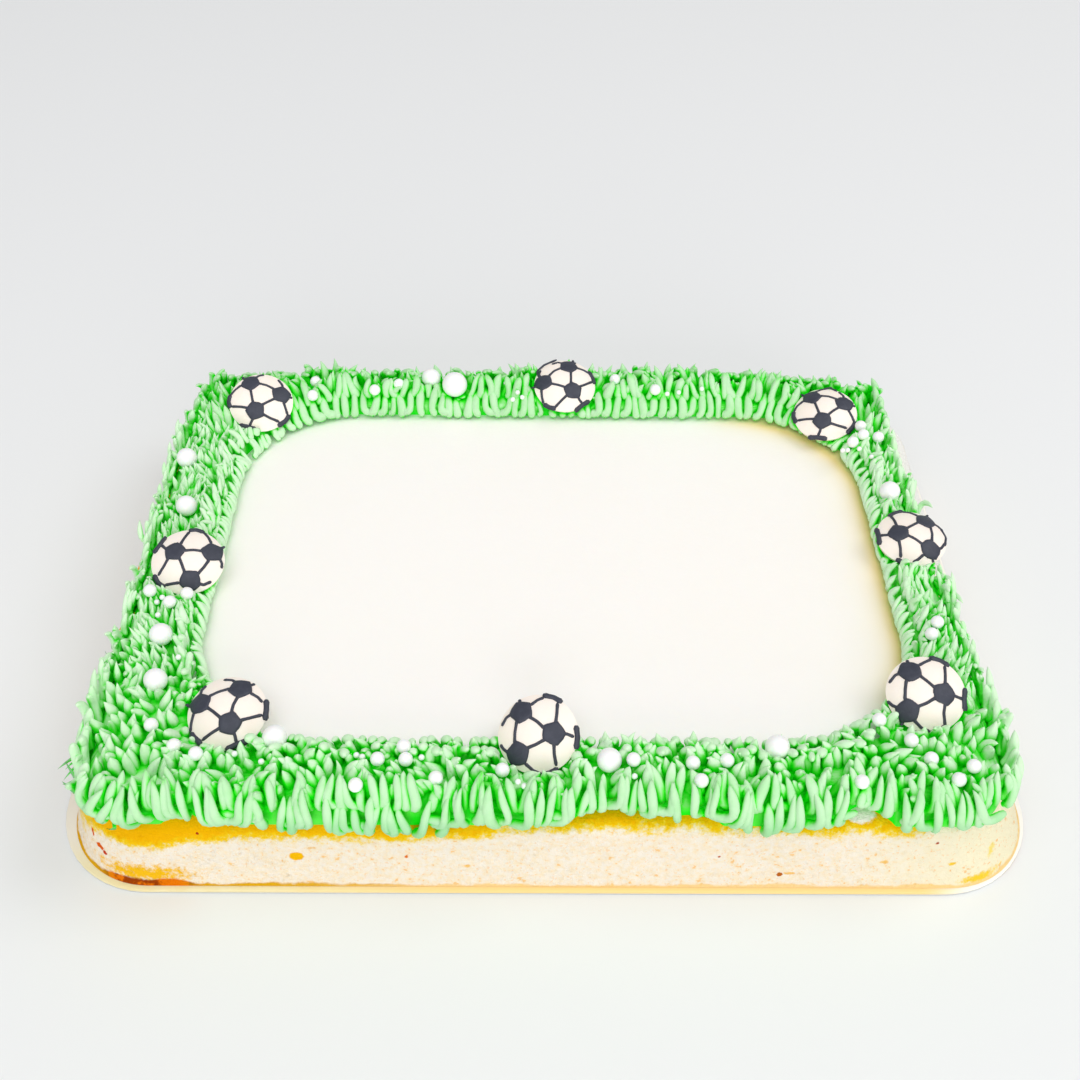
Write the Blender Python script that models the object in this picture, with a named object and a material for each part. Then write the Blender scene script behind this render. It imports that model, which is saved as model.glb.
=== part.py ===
"""Sheet cake on its board: sponge, white icing, a piped grass border, ball toppers and sugar pearls.

Metres, +Z up.  The origin is the middle of the board's underside.  The long side runs along X
and the front of the cake faces -Y.
"""

import math
import random

import bmesh
import bpy
from mathutils import Matrix, Vector, noise

# Air between two pieces that touch
GAP = 0.0003
# Steps round each corner of the rounded outlines
ARC_STEPS = 5

# Board: a thin card, cut a little larger than the cake
BOARD_LENGTH = 0.3365
BOARD_WIDTH = 0.2345
BOARD_THICKNESS = 0.002
BOARD_CORNER = 0.035

# Sponge: a 13 by 9 inch sheet, whose walls lean in to a soft shoulder, more at the ends than at
# the long sides.  Its top sits a little to the left of its foot
CAKE_PLACE = Vector((0.0012, -0.0012, 0.0))
SPONGE_LENGTH = 0.330
SPONGE_WIDTH = 0.229
SPONGE_TOP = 0.0337
SPONGE_CORNER = 0.031
SPONGE_LEAN = Vector((0.0080, 0.0035, 0.0))
TOP_SHIFT = Vector((-0.0025, 0.0, 0.0))
SHOULDER_RADIUS = 0.0075
SHOULDER_STEPS = 4

# White icing: a smooth sheet that ends where the shoulder starts
ICING_TOP = 0.036
ICING_INSET = 0.0005
ICING_EDGE = 0.0008

# Grass border: a low ridge between two rounded outlines, with piped blades on it
BORDER_PLACE = Vector((-0.0023, 0.0010, 0.0))
OUTER_HALF_LENGTH = 0.1500
OUTER_HALF_WIDTH = 0.1105
OUTER_CORNER = 0.018
INNER_HALF_LENGTH = 0.1270
INNER_HALF_WIDTH = 0.0865
INNER_CORNER = 0.048
RIDGE_HEIGHT = 0.0068
RIDGE_UNEVENNESS = 0.0012
RIDGE_FOOT = 0.0315
RIDGE_ACROSS = (0.03, 0.07, 0.25, 0.52, 0.77, 0.93, 0.97)
RIDGE_FULLNESS = 0.32
RIDGE_RUN_STEPS = (10, 8)
BLADE_SIDES = 5
BLADE_RADIUS = 0.0016
BLADE_TAPER = (0.9, 1.0, 0.1)

# Ball toppers: domed icing discs with a raised dark pattern, which lean on the piping
TOPPER_RADIUS = 0.0139
TOPPER_HEIGHT = 0.0055
TOPPER_EDGE = 0.0012
TOPPER_LOW_RIM = 0.0398
TOPPER_LEAST_RISE = 0.0026
TOPPER_SPOKES = 20
TOPPER_RINGS = 3
# The pattern in shares of the radius: middles of the pentagons with their turns, then the rim bars
PATTERN_RELIEF = 0.0006
PATTERN_REACH = 0.95
PENTAGON_SHARE = 0.28
PENTAGONS = ((0.39, -0.03, 0), (-0.40, 0.49, 120), (-0.44, -0.49, 240))
RIM_BARS = ((-5, 0.86), (71, 0.88), (-72, 0.88))
RIM_BAR_SWING = 17
RIM_BAR_HALF_WIDTH = 0.06
# Each topper: name, place on the cake, turn, lean to the right, lean to the front
TOPPERS = (
    ("back_left", -0.1211, 0.0862, -107, 7, 26),
    ("back_middle", 0.0072, 0.1014, -50, 2, 18),
    ("back_right", 0.1174, 0.0833, -108, -9, 15),
    ("middle_left", -0.1341, -0.0059, 154, 6, 18),
    ("middle_right", 0.1385, 0.0103, 179, -1, 7),
    ("front_left", -0.1078, -0.0745, -65, -1, 13),
    ("front_middle", -0.0044, -0.0842, -2, -7, 24),
    ("front_right", 0.1264, -0.0666, -7, -6, 22),
)

# Sugar pearls in three sizes
LARGE_PEARL = 0.0085
FULL_PEARL = 0.0112
MEDIUM_PEARL = 0.0047
SMALL_PEARL = 0.0020
# Height at which the large pearls rest
LARGE_PEARL_FOOT = 0.0422
# Each large pearl: place on the cake and width
LARGE_PEARLS = (
    (-0.1456, 0.0512, LARGE_PEARL),
    (-0.1403, 0.0232, LARGE_PEARL),
    (-0.1364, -0.0423, LARGE_PEARL),
    (-0.1339, -0.0625, LARGE_PEARL),
    (-0.0903, -0.0859, LARGE_PEARL),
    (-0.0400, 0.0986, FULL_PEARL),
    (-0.0506, 0.1047, LARGE_PEARL),
    (0.0183, -0.0944, LARGE_PEARL),
    (0.0732, -0.0890, LARGE_PEARL),
    (0.1345, 0.0340, LARGE_PEARL),
)
MEDIUM_PEARLS = (
    (-0.144, -0.023), (-0.131, -0.023), (-0.136, -0.028), (-0.100, 0.091), (-0.074, 0.095),
    (-0.064, 0.099), (-0.100, 0.101), (-0.131, -0.082), (-0.122, -0.090), (-0.114, -0.094),
    (-0.062, -0.105), (-0.056, -0.095), (-0.048, -0.090), (-0.047, -0.095), (-0.037, -0.102),
    (-0.021, -0.099), (0.026, -0.095), (0.045, -0.096), (0.047, -0.103), (0.056, -0.095),
    (0.098, -0.103), (0.108, -0.079), (0.117, -0.087), (0.122, -0.094), (0.129, -0.102),
    (0.135, -0.097), (0.137, -0.036), (0.134, -0.041), (0.130, 0.073), (0.130, 0.067),
    (0.125, 0.063), (0.136, 0.066), (0.046, 0.096), (0.029, 0.103),
)
SMALL_PEARLS = (
    (-0.139, -0.026), (-0.141, -0.027), (-0.139, -0.034), (-0.128, -0.053), (-0.102, -0.093),
    (-0.093, -0.096), (-0.063, -0.093), (-0.061, -0.094), (-0.042, -0.094), (-0.021, -0.104),
    (-0.019, -0.105), (0.026, -0.101), (0.122, 0.058), (0.127, 0.059), (0.120, 0.058),
    (0.131, 0.054), (-0.013, 0.094), (-0.011, 0.091), (-0.015, 0.089), (0.051, 0.094),
    (0.056, 0.095), (0.066, 0.097),
)


class Fringe:
    """One family of piped blades: where their feet stand and how they rise."""

    def __init__(self, count, across, heading, start, reach, sideways, foot_lift, belly, tip_up):
        self.count = count
        self.across = across
        self.heading = heading
        self.start = start
        self.reach = reach
        self.sideways = sideways
        self.foot_lift = foot_lift
        self.belly = belly
        self.tip_up = tip_up


OUTER_FRINGE = Fringe(count=100, across=0.0, heading=-1, start=(0.0000, 0.0012), reach=0.0085,
                      sideways=0.0035, foot_lift=0.0004, belly=(0.0002, 0.0070), tip_up=0.0105)
INNER_FRINGE = Fringe(count=74, across=1.0, heading=1, start=(0.0000, 0.0012), reach=0.0075,
                      sideways=0.0030, foot_lift=0.0008, belly=(0.0003, 0.0050), tip_up=0.0100)
TOP_TUFTS = Fringe(count=50, across=0.0, heading=-1, start=(0.0085, 0.0155), reach=0.0010,
                   sideways=0.0020, foot_lift=-0.0025, belly=(0.0, 0.0090), tip_up=0.0112)


def material(name, colour, roughness, coat=0.0):
    """A plain finish of one colour."""
    finish = bpy.data.materials.new(name)
    finish.use_nodes = True
    shader = finish.node_tree.nodes["Principled BSDF"]
    shader.inputs["Base Color"].default_value = (*colour, 1.0)
    shader.inputs["Roughness"].default_value = roughness
    shader.inputs["Coat Weight"].default_value = coat
    finish.diffuse_color = (*colour, 1.0)
    return finish


def blend(first, second, share):
    """A number between two numbers."""
    return first + (second - first) * share


def new_object(name, builder, finish, collection=None):
    """An object made from a finished bmesh, which is freed."""
    bmesh.ops.recalc_face_normals(builder, faces=builder.faces)
    mesh = bpy.data.meshes.new(name)
    builder.to_mesh(mesh)
    builder.free()
    mesh.shade_smooth()
    mesh.set_sharp_from_angle(angle=math.radians(40))
    mesh.materials.append(finish)
    item = bpy.data.objects.new(name, mesh)
    (collection or bpy.context.scene.collection).objects.link(item)
    return item


def add_loop(builder, points):
    """A closed loop of edges through the points."""
    corners = [builder.verts.new(point) for point in points]
    return [builder.edges.new((corners[i - 1], corners[i])) for i in range(len(corners))]


def add_stack(builder, loops, closed_round=False):
    """Skin a stack of loops, capped at both ends or joined end to end."""
    rings = [add_loop(builder, points) for points in loops]
    for lower, upper in zip(rings, rings[1:]):
        bmesh.ops.bridge_loops(builder, edges=lower + upper)
    if closed_round:
        bmesh.ops.bridge_loops(builder, edges=rings[-1] + rings[0])
        return
    for ring in (rings[0], rings[-1]):
        bmesh.ops.contextual_create(builder, geom=ring)


def rounded_loop(half_length, half_width, corner, run_steps=(1, 1)):
    """Points and outward directions round a rectangle with round corners."""
    places = []
    signs = ((1, 1), (-1, 1), (-1, -1), (1, -1))
    for quarter, (sign_x, sign_y) in enumerate(signs):
        centre = Vector((sign_x * (half_length - corner), sign_y * (half_width - corner), 0.0))
        for step in range(ARC_STEPS + 1):
            angle = math.radians(90 * (quarter + step / ARC_STEPS))
            out = Vector((math.cos(angle), math.sin(angle), 0.0))
            places.append((centre + corner * out, out))
        next_x, next_y = signs[(quarter + 1) % 4]
        start = places[-1][0]
        end = Vector((next_x * (half_length - corner), next_y * (half_width - corner), 0.0)) + corner * out
        steps = run_steps[quarter % 2]
        for step in range(1, steps):
            places.append((start.lerp(end, step / steps), out))
    return places


def cake_loop(inset, rise, height):
    """A level loop round the cake, inset from its wall, at a share of the way up the wall."""
    middle = CAKE_PLACE + rise * TOP_SHIFT + Vector((0, 0, height))
    half_length = SPONGE_LENGTH / 2 - rise * SPONGE_LEAN.x - inset
    half_width = SPONGE_WIDTH / 2 - rise * SPONGE_LEAN.y - inset
    return [middle + point for point, _ in rounded_loop(half_length, half_width, SPONGE_CORNER - inset)]


def add_sponge(builder, grow=0.0):
    """The sponge, whose walls lean in and turn over a round shoulder."""
    top = SPONGE_TOP + grow
    loops = [cake_loop(-grow, 0.0, BOARD_THICKNESS + GAP - grow)]
    for step in range(SHOULDER_STEPS + 1):
        angle = math.radians(90 * step / SHOULDER_STEPS)
        inset = SHOULDER_RADIUS * (1 - math.cos(angle)) - grow
        loops.append(cake_loop(inset, 1.0, top - SHOULDER_RADIUS * (1 - math.sin(angle))))
    add_stack(builder, loops)


def add_icing(builder, grow=0.0):
    """The sheet of white icing on the flat of the sponge."""
    inset = SHOULDER_RADIUS + ICING_INSET - grow
    foot = SPONGE_TOP + GAP - grow
    top = ICING_TOP + grow
    sections = ((inset, foot), (inset, top - ICING_EDGE), (inset + ICING_EDGE, top))
    add_stack(builder, [cake_loop(step, 1.0, height) for step, height in sections])


def border_loop(across):
    """The border's outline at a share of the way from its outer to its inner edge."""
    return [(CAKE_PLACE + BORDER_PLACE + point, out) for point, out in rounded_loop(
        blend(OUTER_HALF_LENGTH, INNER_HALF_LENGTH, across),
        blend(OUTER_HALF_WIDTH, INNER_HALF_WIDTH, across),
        blend(OUTER_CORNER, INNER_CORNER, across),
        RIDGE_RUN_STEPS)]


def outline_place(share, across):
    """A point on one of the border's outlines and its outward direction, at a share of the way round."""
    loop = border_loop(across)
    lengths = [(loop[i][0] - loop[i - 1][0]).length for i in range(len(loop))]
    left = (share % 1.0) * sum(lengths)
    index = 0
    while left > lengths[index]:
        left -= lengths[index]
        index += 1
    step = left / lengths[index]
    point = loop[index - 1][0].lerp(loop[index][0], step)
    out = loop[index - 1][1].lerp(loop[index][1], step).normalized()
    return point, out


def edge_distance(point, half_length, half_width, corner):
    """Distance of a plan point from a rounded rectangle, negative inside it."""
    over_x = abs(point.x) - (half_length - corner)
    over_y = abs(point.y) - (half_width - corner)
    return math.hypot(max(over_x, 0.0), max(over_y, 0.0)) + min(max(over_x, over_y), 0.0) - corner


def ridge_height(across):
    """Height of the bare ridge over the icing at a share of the way across it."""
    low, high = RIDGE_ACROSS[0], RIDGE_ACROSS[-1]
    share = min(max((across - low) / (high - low), 0.0), 1.0)
    return RIDGE_HEIGHT * math.sin(math.pi * share) ** RIDGE_FULLNESS


def surface_height(point):
    """Height of the bare ridge, icing or shoulder under a plan point, in the part's frame."""
    on_top = point - CAKE_PLACE - TOP_SHIFT
    on_border = point - CAKE_PLACE - BORDER_PLACE
    inward = -edge_distance(on_border, OUTER_HALF_LENGTH, OUTER_HALF_WIDTH, OUTER_CORNER)
    outward = edge_distance(on_border, INNER_HALF_LENGTH, INNER_HALF_WIDTH, INNER_CORNER)
    if inward > 0 and outward > 0:
        ridge = ridge_height(inward / (inward + outward))
        if ridge > 0:
            return ICING_TOP + ridge
    beyond = edge_distance(on_top,
                           SPONGE_LENGTH / 2 - SPONGE_LEAN.x - SHOULDER_RADIUS,
                           SPONGE_WIDTH / 2 - SPONGE_LEAN.y - SHOULDER_RADIUS,
                           SPONGE_CORNER - SHOULDER_RADIUS)
    beyond = min(max(beyond, 0.0), SHOULDER_RADIUS)
    return ICING_TOP - SHOULDER_RADIUS + math.sqrt(SHOULDER_RADIUS ** 2 - beyond ** 2)


def add_ridge(builder):
    """The low uneven ridge that carries the blades."""
    sections = [(RIDGE_ACROSS[0], RIDGE_FOOT)]
    sections += [(across, None) for across in RIDGE_ACROSS[1:-1]]
    sections.append((RIDGE_ACROSS[-1], RIDGE_FOOT))
    loops = []
    for across, height in sections:
        points = []
        for point, _ in border_loop(across):
            wave = noise.noise(point * 70) * RIDGE_UNEVENNESS
            level = height if height else ICING_TOP + ridge_height(across) + wave
            points.append(Vector((point.x, point.y, level)))
        loops.append(points)
    add_stack(builder, loops, closed_round=True)


def add_blade(builder, path, radii):
    """A piped blade: a round foot, a soft belly and a drawn-out tip."""
    rings = []
    for index, (point, radius) in enumerate(zip(path, radii)):
        ahead = path[min(index + 1, len(path) - 1)] - path[max(index - 1, 0)]
        turn = Vector((0, 0, 1)).rotation_difference(ahead.normalized()).to_matrix().to_4x4()
        place = Matrix.Translation(point) @ turn
        circle = bmesh.ops.create_circle(builder, segments=BLADE_SIDES, radius=radius, matrix=place)
        rings.append(list({edge for corner in circle["verts"] for edge in corner.link_edges}))
    for lower, upper in zip(rings, rings[1:]):
        bmesh.ops.bridge_loops(builder, edges=lower + upper)
    bmesh.ops.contextual_create(builder, geom=rings[0])
    bmesh.ops.pointmerge(builder, verts=circle["verts"], merge_co=path[-1])


def near_decoration(point, reach):
    """Whether a plan point is closer than reach to a topper or a large pearl."""
    for _, x, y, *_ in TOPPERS:
        if math.hypot(point.x - CAKE_PLACE.x - x, point.y - CAKE_PLACE.y - y) < TOPPER_RADIUS + reach:
            return True
    for x, y, width in LARGE_PEARLS:
        if math.hypot(point.x - CAKE_PLACE.x - x, point.y - CAKE_PLACE.y - y) < width / 2 + reach:
            return True
    return False


def blade_path(fringe, share, dice):
    """Points along one blade, from foot to tip."""
    outline, out = outline_place(share, fringe.across)
    inward = out * fringe.heading
    along = Vector((-out.y, out.x, 0.0))
    foot = outline + inward * dice.uniform(*fringe.start)
    tip = foot + inward * (fringe.reach + dice.uniform(-0.0015, 0.0015))
    tip += along * dice.uniform(-fringe.sideways, fringe.sideways)
    foot.z = surface_height(foot) + fringe.foot_lift
    tip.z = ICING_TOP + fringe.tip_up + dice.uniform(-0.0012, 0.0010)
    belly = foot + inward * fringe.belly[0]
    belly.z = ICING_TOP + fringe.belly[1]
    return [foot.lerp(belly, step).lerp(belly.lerp(tip, step), step) for step in (0.0, 0.5, 1.0)]


def add_fringe(collection, fringe, finish, dice):
    """All the blades of one family, clear of the toppers and the large pearls."""
    for index in range(fringe.count):
        path = blade_path(fringe, (index + dice.uniform(-0.25, 0.25)) / fringe.count, dice)
        width = dice.uniform(0.85, 1.1) * BLADE_RADIUS
        if any(near_decoration(point, BLADE_RADIUS + GAP) for point in path):
            continue
        builder = bmesh.new()
        add_blade(builder, path, [width * share for share in BLADE_TAPER])
        new_object("blade", builder, finish, collection)


def add_pearls(collection, places, width, finish):
    """Pearls of one size, half sunk between the blades."""
    for x, y in places:
        point = CAKE_PLACE + Vector((x, y, 0.0))
        if near_decoration(point, width / 2 + GAP):
            continue
        height = surface_height(point) + 0.35 * width
        if width > SMALL_PEARL:
            height += 0.0008
        builder = bmesh.new()
        bmesh.ops.create_icosphere(builder, subdivisions=1, radius=width / 2,
                                   matrix=Matrix.Translation((point.x, point.y, height)))
        new_object("pearl", builder, finish, collection)


def add_turned(builder, profile, spokes, place):
    """A closed turned shape from a profile of radius and height, both ends on the axis."""
    corners = [builder.verts.new((radius, 0.0, height)) for radius, height in profile]
    edges = [builder.edges.new(pair) for pair in zip(corners, corners[1:])]
    bmesh.ops.spin(builder, geom=corners + edges, cent=(0, 0, 0), axis=(0, 0, 1),
                   angle=math.tau, steps=spokes, use_merge=True)
    bmesh.ops.remove_doubles(builder, verts=builder.verts, dist=0.00001)
    bmesh.ops.transform(builder, verts=builder.verts, matrix=place)


def topper_place(x, y, turn, lean_right, lean_front):
    """Where a topper stands: turned in its own plane, then leant up from its low rim."""
    lean = Matrix.Rotation(math.radians(lean_front), 4, "X") @ Matrix.Rotation(math.radians(lean_right), 4, "Y")
    steepness = math.sin(math.radians(math.hypot(lean_right, lean_front)))
    rise = max(TOPPER_RADIUS * steepness, TOPPER_LEAST_RISE)
    point = CAKE_PLACE + Vector((x, y, TOPPER_LOW_RIM + rise))
    return Matrix.Translation(point) @ lean @ Matrix.Rotation(math.radians(turn), 4, "Z")


def add_patch(builder, outline, dome_centre, dome_radius):
    """A raised patch on the dome: a wedge from inside it to just over its surface."""
    inner, outer = [], []
    for x, y in outline:
        rise = math.sqrt(max(dome_radius ** 2 - x * x - y * y, 0.0)) + dome_centre
        ray = (Vector((x, y, rise)) - Vector((0, 0, dome_centre))).normalized()
        start = Vector((0, 0, dome_centre))
        inner.append(start + ray * (dome_radius - 2 * PATTERN_RELIEF))
        outer.append(start + ray * (dome_radius + PATTERN_RELIEF))
    add_stack(builder, [inner, outer])
    top = max(builder.faces, key=lambda face: sum((vert.co - Vector((0, 0, dome_centre))).length
                                                  for vert in face.verts) / len(face.verts))
    crown = bmesh.ops.poke(builder, faces=[top])["verts"][0]
    ray = (crown.co - Vector((0, 0, dome_centre))).normalized()
    crown.co = Vector((0, 0, dome_centre)) + ray * (dome_radius + PATTERN_RELIEF)


def pattern_outlines():
    """Plan outlines of the dark patches: three pentagons and three bars near the rim."""
    outlines = []
    for x, y, turn in PENTAGONS:
        outline = []
        for corner in range(5):
            angle = math.radians(turn + 72 * corner)
            point = Vector((x, y)) + PENTAGON_SHARE * Vector((math.cos(angle), math.sin(angle)))
            outline.append(TOPPER_RADIUS * point * min(1.0, PATTERN_REACH / point.length))
        outlines.append(outline)
    for middle_angle, reach in RIM_BARS:
        bar = []
        for side, swing in ((-1, -1), (-1, 1), (1, 1), (1, -1)):
            angle = math.radians(middle_angle + swing * RIM_BAR_SWING)
            radius = (reach + side * RIM_BAR_HALF_WIDTH) * TOPPER_RADIUS
            bar.append(radius * Vector((math.cos(angle), math.sin(angle))))
        outlines.append(bar)
    return outlines


def topper_mesh(cream, dark):
    """The mesh that all toppers share: a dome on a short edge, with the raised pattern."""
    cap = TOPPER_HEIGHT - TOPPER_EDGE
    dome_radius = (TOPPER_RADIUS ** 2 + cap ** 2) / (2 * cap)
    dome_centre = TOPPER_HEIGHT - dome_radius
    widest = math.asin(TOPPER_RADIUS / dome_radius)
    profile = [(0.0, 0.0), (TOPPER_RADIUS - TOPPER_EDGE, 0.0)]
    for ring in range(TOPPER_RINGS + 1):
        angle = widest * (1 - ring / TOPPER_RINGS)
        profile.append((dome_radius * math.sin(angle), dome_centre + dome_radius * math.cos(angle)))
    profile[-1] = (0.0, TOPPER_HEIGHT)
    builder = bmesh.new()
    add_turned(builder, profile, TOPPER_SPOKES, Matrix.Identity(4))
    body = new_object("topper_body", builder, cream)
    patches = bpy.data.collections.new("patches")
    bpy.context.scene.collection.children.link(patches)
    for outline in pattern_outlines():
        builder = bmesh.new()
        add_patch(builder, outline, dome_centre, dome_radius)
        new_object("patch", builder, dark, patches)
    combine(body, patches, "UNION")
    mesh = body.data
    bpy.data.objects.remove(body)
    return mesh


def combine(body, pieces, operation):
    """Apply one Boolean of the body with a collection, then remove the collection's objects."""
    modifier = body.modifiers.new("pieces", "BOOLEAN")
    modifier.operation = operation
    modifier.operand_type = "COLLECTION"
    modifier.collection = pieces
    modifier.solver = "EXACT"
    modifier.material_mode = "TRANSFER"
    graph = bpy.context.evaluated_depsgraph_get()
    result = bpy.data.meshes.new_from_object(body.evaluated_get(graph))
    result.name = body.name
    body.modifiers.clear()
    body.data = result
    for piece in list(pieces.objects):
        bpy.data.objects.remove(piece)
    bpy.data.collections.remove(pieces)


def drop_scraps(mesh):
    """Keep only the largest connected piece of a mesh."""
    builder = bmesh.new()
    builder.from_mesh(mesh)
    unseen = set(builder.verts)
    largest = set()
    while unseen:
        island = {unseen.pop()}
        edge_of_island = list(island)
        while edge_of_island:
            corner = edge_of_island.pop()
            for edge in corner.link_edges:
                other = edge.other_vert(corner)
                if other in unseen:
                    unseen.discard(other)
                    island.add(other)
                    edge_of_island.append(other)
        if len(island) > len(largest):
            largest = island
    scraps = [corner for corner in builder.verts if corner not in largest]
    bmesh.ops.delete(builder, geom=scraps, context="VERTS")
    builder.to_mesh(mesh)
    builder.free()


def build_grass(green, white):
    """The grass border in one piece, nested round its toppers and large pearls."""
    builder = bmesh.new()
    add_ridge(builder)
    grass = new_object("grass_border", builder, green)
    dice = random.Random(7)
    pieces = bpy.data.collections.new("grass_pieces")
    bpy.context.scene.collection.children.link(pieces)
    add_fringe(pieces, OUTER_FRINGE, green, dice)
    add_fringe(pieces, INNER_FRINGE, green, dice)
    add_fringe(pieces, TOP_TUFTS, green, dice)
    add_pearls(pieces, MEDIUM_PEARLS, MEDIUM_PEARL, white)
    add_pearls(pieces, SMALL_PEARLS, SMALL_PEARL, white)
    combine(grass, pieces, "UNION")

    nests = bpy.data.collections.new("nests")
    bpy.context.scene.collection.children.link(nests)
    for add_layer in (add_sponge, add_icing):
        builder = bmesh.new()
        add_layer(builder, grow=GAP)
        new_object("layer_room", builder, green, nests)
    reach = TOPPER_RADIUS + PATTERN_RELIEF + GAP
    for _, *place in TOPPERS:
        builder = bmesh.new()
        sides = ((0.0, -GAP), (reach, -GAP), (reach, 3 * TOPPER_HEIGHT), (0.0, 3 * TOPPER_HEIGHT))
        add_turned(builder, sides, TOPPER_SPOKES, topper_place(*place))
        new_object("topper_room", builder, green, nests)
    for x, y, width in LARGE_PEARLS:
        builder = bmesh.new()
        reach = width / 2 + GAP
        cup = [(reach * math.sin(math.radians(angle)), -reach * math.cos(math.radians(angle)))
               for angle in (0, 30, 60, 90)]
        add_turned(builder, cup + [(reach, 2 * width), (0.0, 2 * width)], 12,
                   Matrix.Translation(large_pearl_place(x, y, width)))
        new_object("pearl_room", builder, green, nests)
    combine(grass, nests, "DIFFERENCE")
    drop_scraps(grass.data)
    return grass


def large_pearl_place(x, y, width):
    """The centre of a large pearl, which rests on the ridge between the blades."""
    return CAKE_PLACE + Vector((x, y, LARGE_PEARL_FOOT + width / 2))


def build_toppers(cream, dark):
    """Eight toppers from one mesh, leaning as they were set down."""
    mesh = topper_mesh(cream, dark)
    mesh.name = "topper"
    for name, *place in TOPPERS:
        topper = bpy.data.objects.new("topper_" + name, mesh)
        topper.matrix_world = topper_place(*place)
        bpy.context.scene.collection.objects.link(topper)


def build_large_pearls(white):
    """The large pearls, each a round piece of its own."""
    for number, (x, y, width) in enumerate(LARGE_PEARLS, start=1):
        builder = bmesh.new()
        bmesh.ops.create_icosphere(builder, subdivisions=2, radius=width / 2)
        pearl = new_object(f"pearl_large_{number:02d}", builder, white)
        pearl.location = large_pearl_place(x, y, width)


def build_board(card):
    """The thin card board with round corners."""
    builder = bmesh.new()
    outline = rounded_loop(BOARD_LENGTH / 2, BOARD_WIDTH / 2, BOARD_CORNER)
    add_stack(builder, [[point + Vector((0, 0, height)) for point, _ in outline]
                        for height in (0.0, BOARD_THICKNESS)])
    new_object("cake_board", builder, card)


def main():
    """Build the whole cake."""
    for item in list(bpy.data.objects):
        bpy.data.objects.remove(item)
    card = material("card_board", (0.93, 0.80, 0.52), 0.45)
    crumb = material("sponge_crumb", (0.97, 0.80, 0.56), 0.85)
    white = material("white_icing", (0.95, 0.92, 0.86), 0.35)
    green = material("green_buttercream", (0.25, 0.66, 0.26), 0.45)
    cream = material("topper_icing", (0.93, 0.82, 0.68), 0.5)
    dark = material("dark_icing", (0.03, 0.035, 0.05), 0.4)
    pearl = material("pearl_sugar", (0.92, 0.92, 0.90), 0.3, coat=0.4)

    build_board(card)
    builder = bmesh.new()
    add_sponge(builder)
    new_object("sponge", builder, crumb)
    builder = bmesh.new()
    add_icing(builder)
    new_object("white_icing", builder, white)
    build_grass(green, pearl)
    build_toppers(cream, dark)
    build_large_pearls(pearl)


main()
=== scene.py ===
"""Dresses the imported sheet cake: crumb, icing, piped grass, ball toppers, pearls and board.

Metres, +Z up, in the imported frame.  The origin is the middle of the board's underside, the long
side runs along X and the front of the cake faces -Y.
"""

from __future__ import annotations

import logging
import math
from collections.abc import Callable
from dataclasses import dataclass, replace
from enum import Enum
from functools import reduce

import bmesh
import bpy
import numpy as np
from mathutils import Matrix, Vector, noise

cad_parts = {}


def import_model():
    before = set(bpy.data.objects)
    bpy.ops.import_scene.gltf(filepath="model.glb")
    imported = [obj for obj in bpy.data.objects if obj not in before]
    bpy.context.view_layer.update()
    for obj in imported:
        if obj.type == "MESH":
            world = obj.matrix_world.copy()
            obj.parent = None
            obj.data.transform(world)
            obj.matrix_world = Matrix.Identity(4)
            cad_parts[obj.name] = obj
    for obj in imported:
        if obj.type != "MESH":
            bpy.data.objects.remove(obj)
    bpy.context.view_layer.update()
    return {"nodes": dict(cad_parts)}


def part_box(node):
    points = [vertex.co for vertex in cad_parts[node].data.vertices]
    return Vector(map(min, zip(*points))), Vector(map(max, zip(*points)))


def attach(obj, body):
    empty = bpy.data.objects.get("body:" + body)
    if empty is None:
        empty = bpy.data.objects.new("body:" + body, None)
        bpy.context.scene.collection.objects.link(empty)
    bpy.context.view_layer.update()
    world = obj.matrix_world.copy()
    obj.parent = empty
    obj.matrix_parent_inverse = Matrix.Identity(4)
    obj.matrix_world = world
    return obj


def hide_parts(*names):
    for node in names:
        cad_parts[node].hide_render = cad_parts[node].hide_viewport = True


Array = np.ndarray
Builder = bmesh.types.BMesh
Mesh = bpy.types.Mesh
Socket = bpy.types.NodeSocket
Value = Socket | float
Pair = tuple[float, float]
Triple = tuple[float, float, float]

log = logging.getLogger("cake")

# Millimetres in a metre, and the angle in degrees from which an edge stays sharp
PER_METRE = 1000
SHARP_ANGLE = 50.0

# What keeps a length or a share from being nothing before it divides
LEAST_LENGTH = 1e-9
LEAST_SHARE = 1e-6

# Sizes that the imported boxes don't give
SPONGE_CORNER = 0.031
END_LEAN = 0.0080
SIDE_LEAN = 0.0035
TOP_SHIFT = -0.0025
SHOULDER_RADIUS = 0.0075
BOARD_CORNER = 0.035

# The border's outer and inner outlines: half length, half width, corner and place on the cake
OUTER_EDGE = (0.1510, 0.1105, 0.016, -0.0013, 0.0010)
INNER_EDGE = (0.1260, 0.0866, 0.048, 0.0010, 0.0030)

TOPPER_RADIUS = 0.0139
TOPPER_BODY_RADIUS = 0.0132
TOPPER_HEIGHT = 0.0055
TOPPER_EDGE = 0.0012
TOPPER_LOW_RIM = 0.0398
TOPPER_LEAST_RISE = 0.0026

# Heights in millimetres of the feet of the front strands, from the left end to the right one
FRONT_REACH = 0.140
FRONT_FEET = (
    35.7, 34.6, 37.8, 39.6, 35.7, 34.8, 35.3, 31.2, 34.3, 31.7, 29.9, 32.7,
    28.3, 31.8, 36.4, 37.5, 36.4, 35.2, 37.1, 41.0, 42.5, 41.2, 39.4, 39.7,
    38.9, 34.6, 31.4, 34.2, 36.0, 38.6, 43.6, 39.0, 33.9, 34.8, 34.8, 37.8,
)

# Widths of the loose pearls and their heights over the icing
MEDIUM_PEARL = 0.0047
MEDIUM_CANOPY = 0.0115
SMALL_PEARL = 0.0020
SMALL_CANOPY = 0.0112

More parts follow.
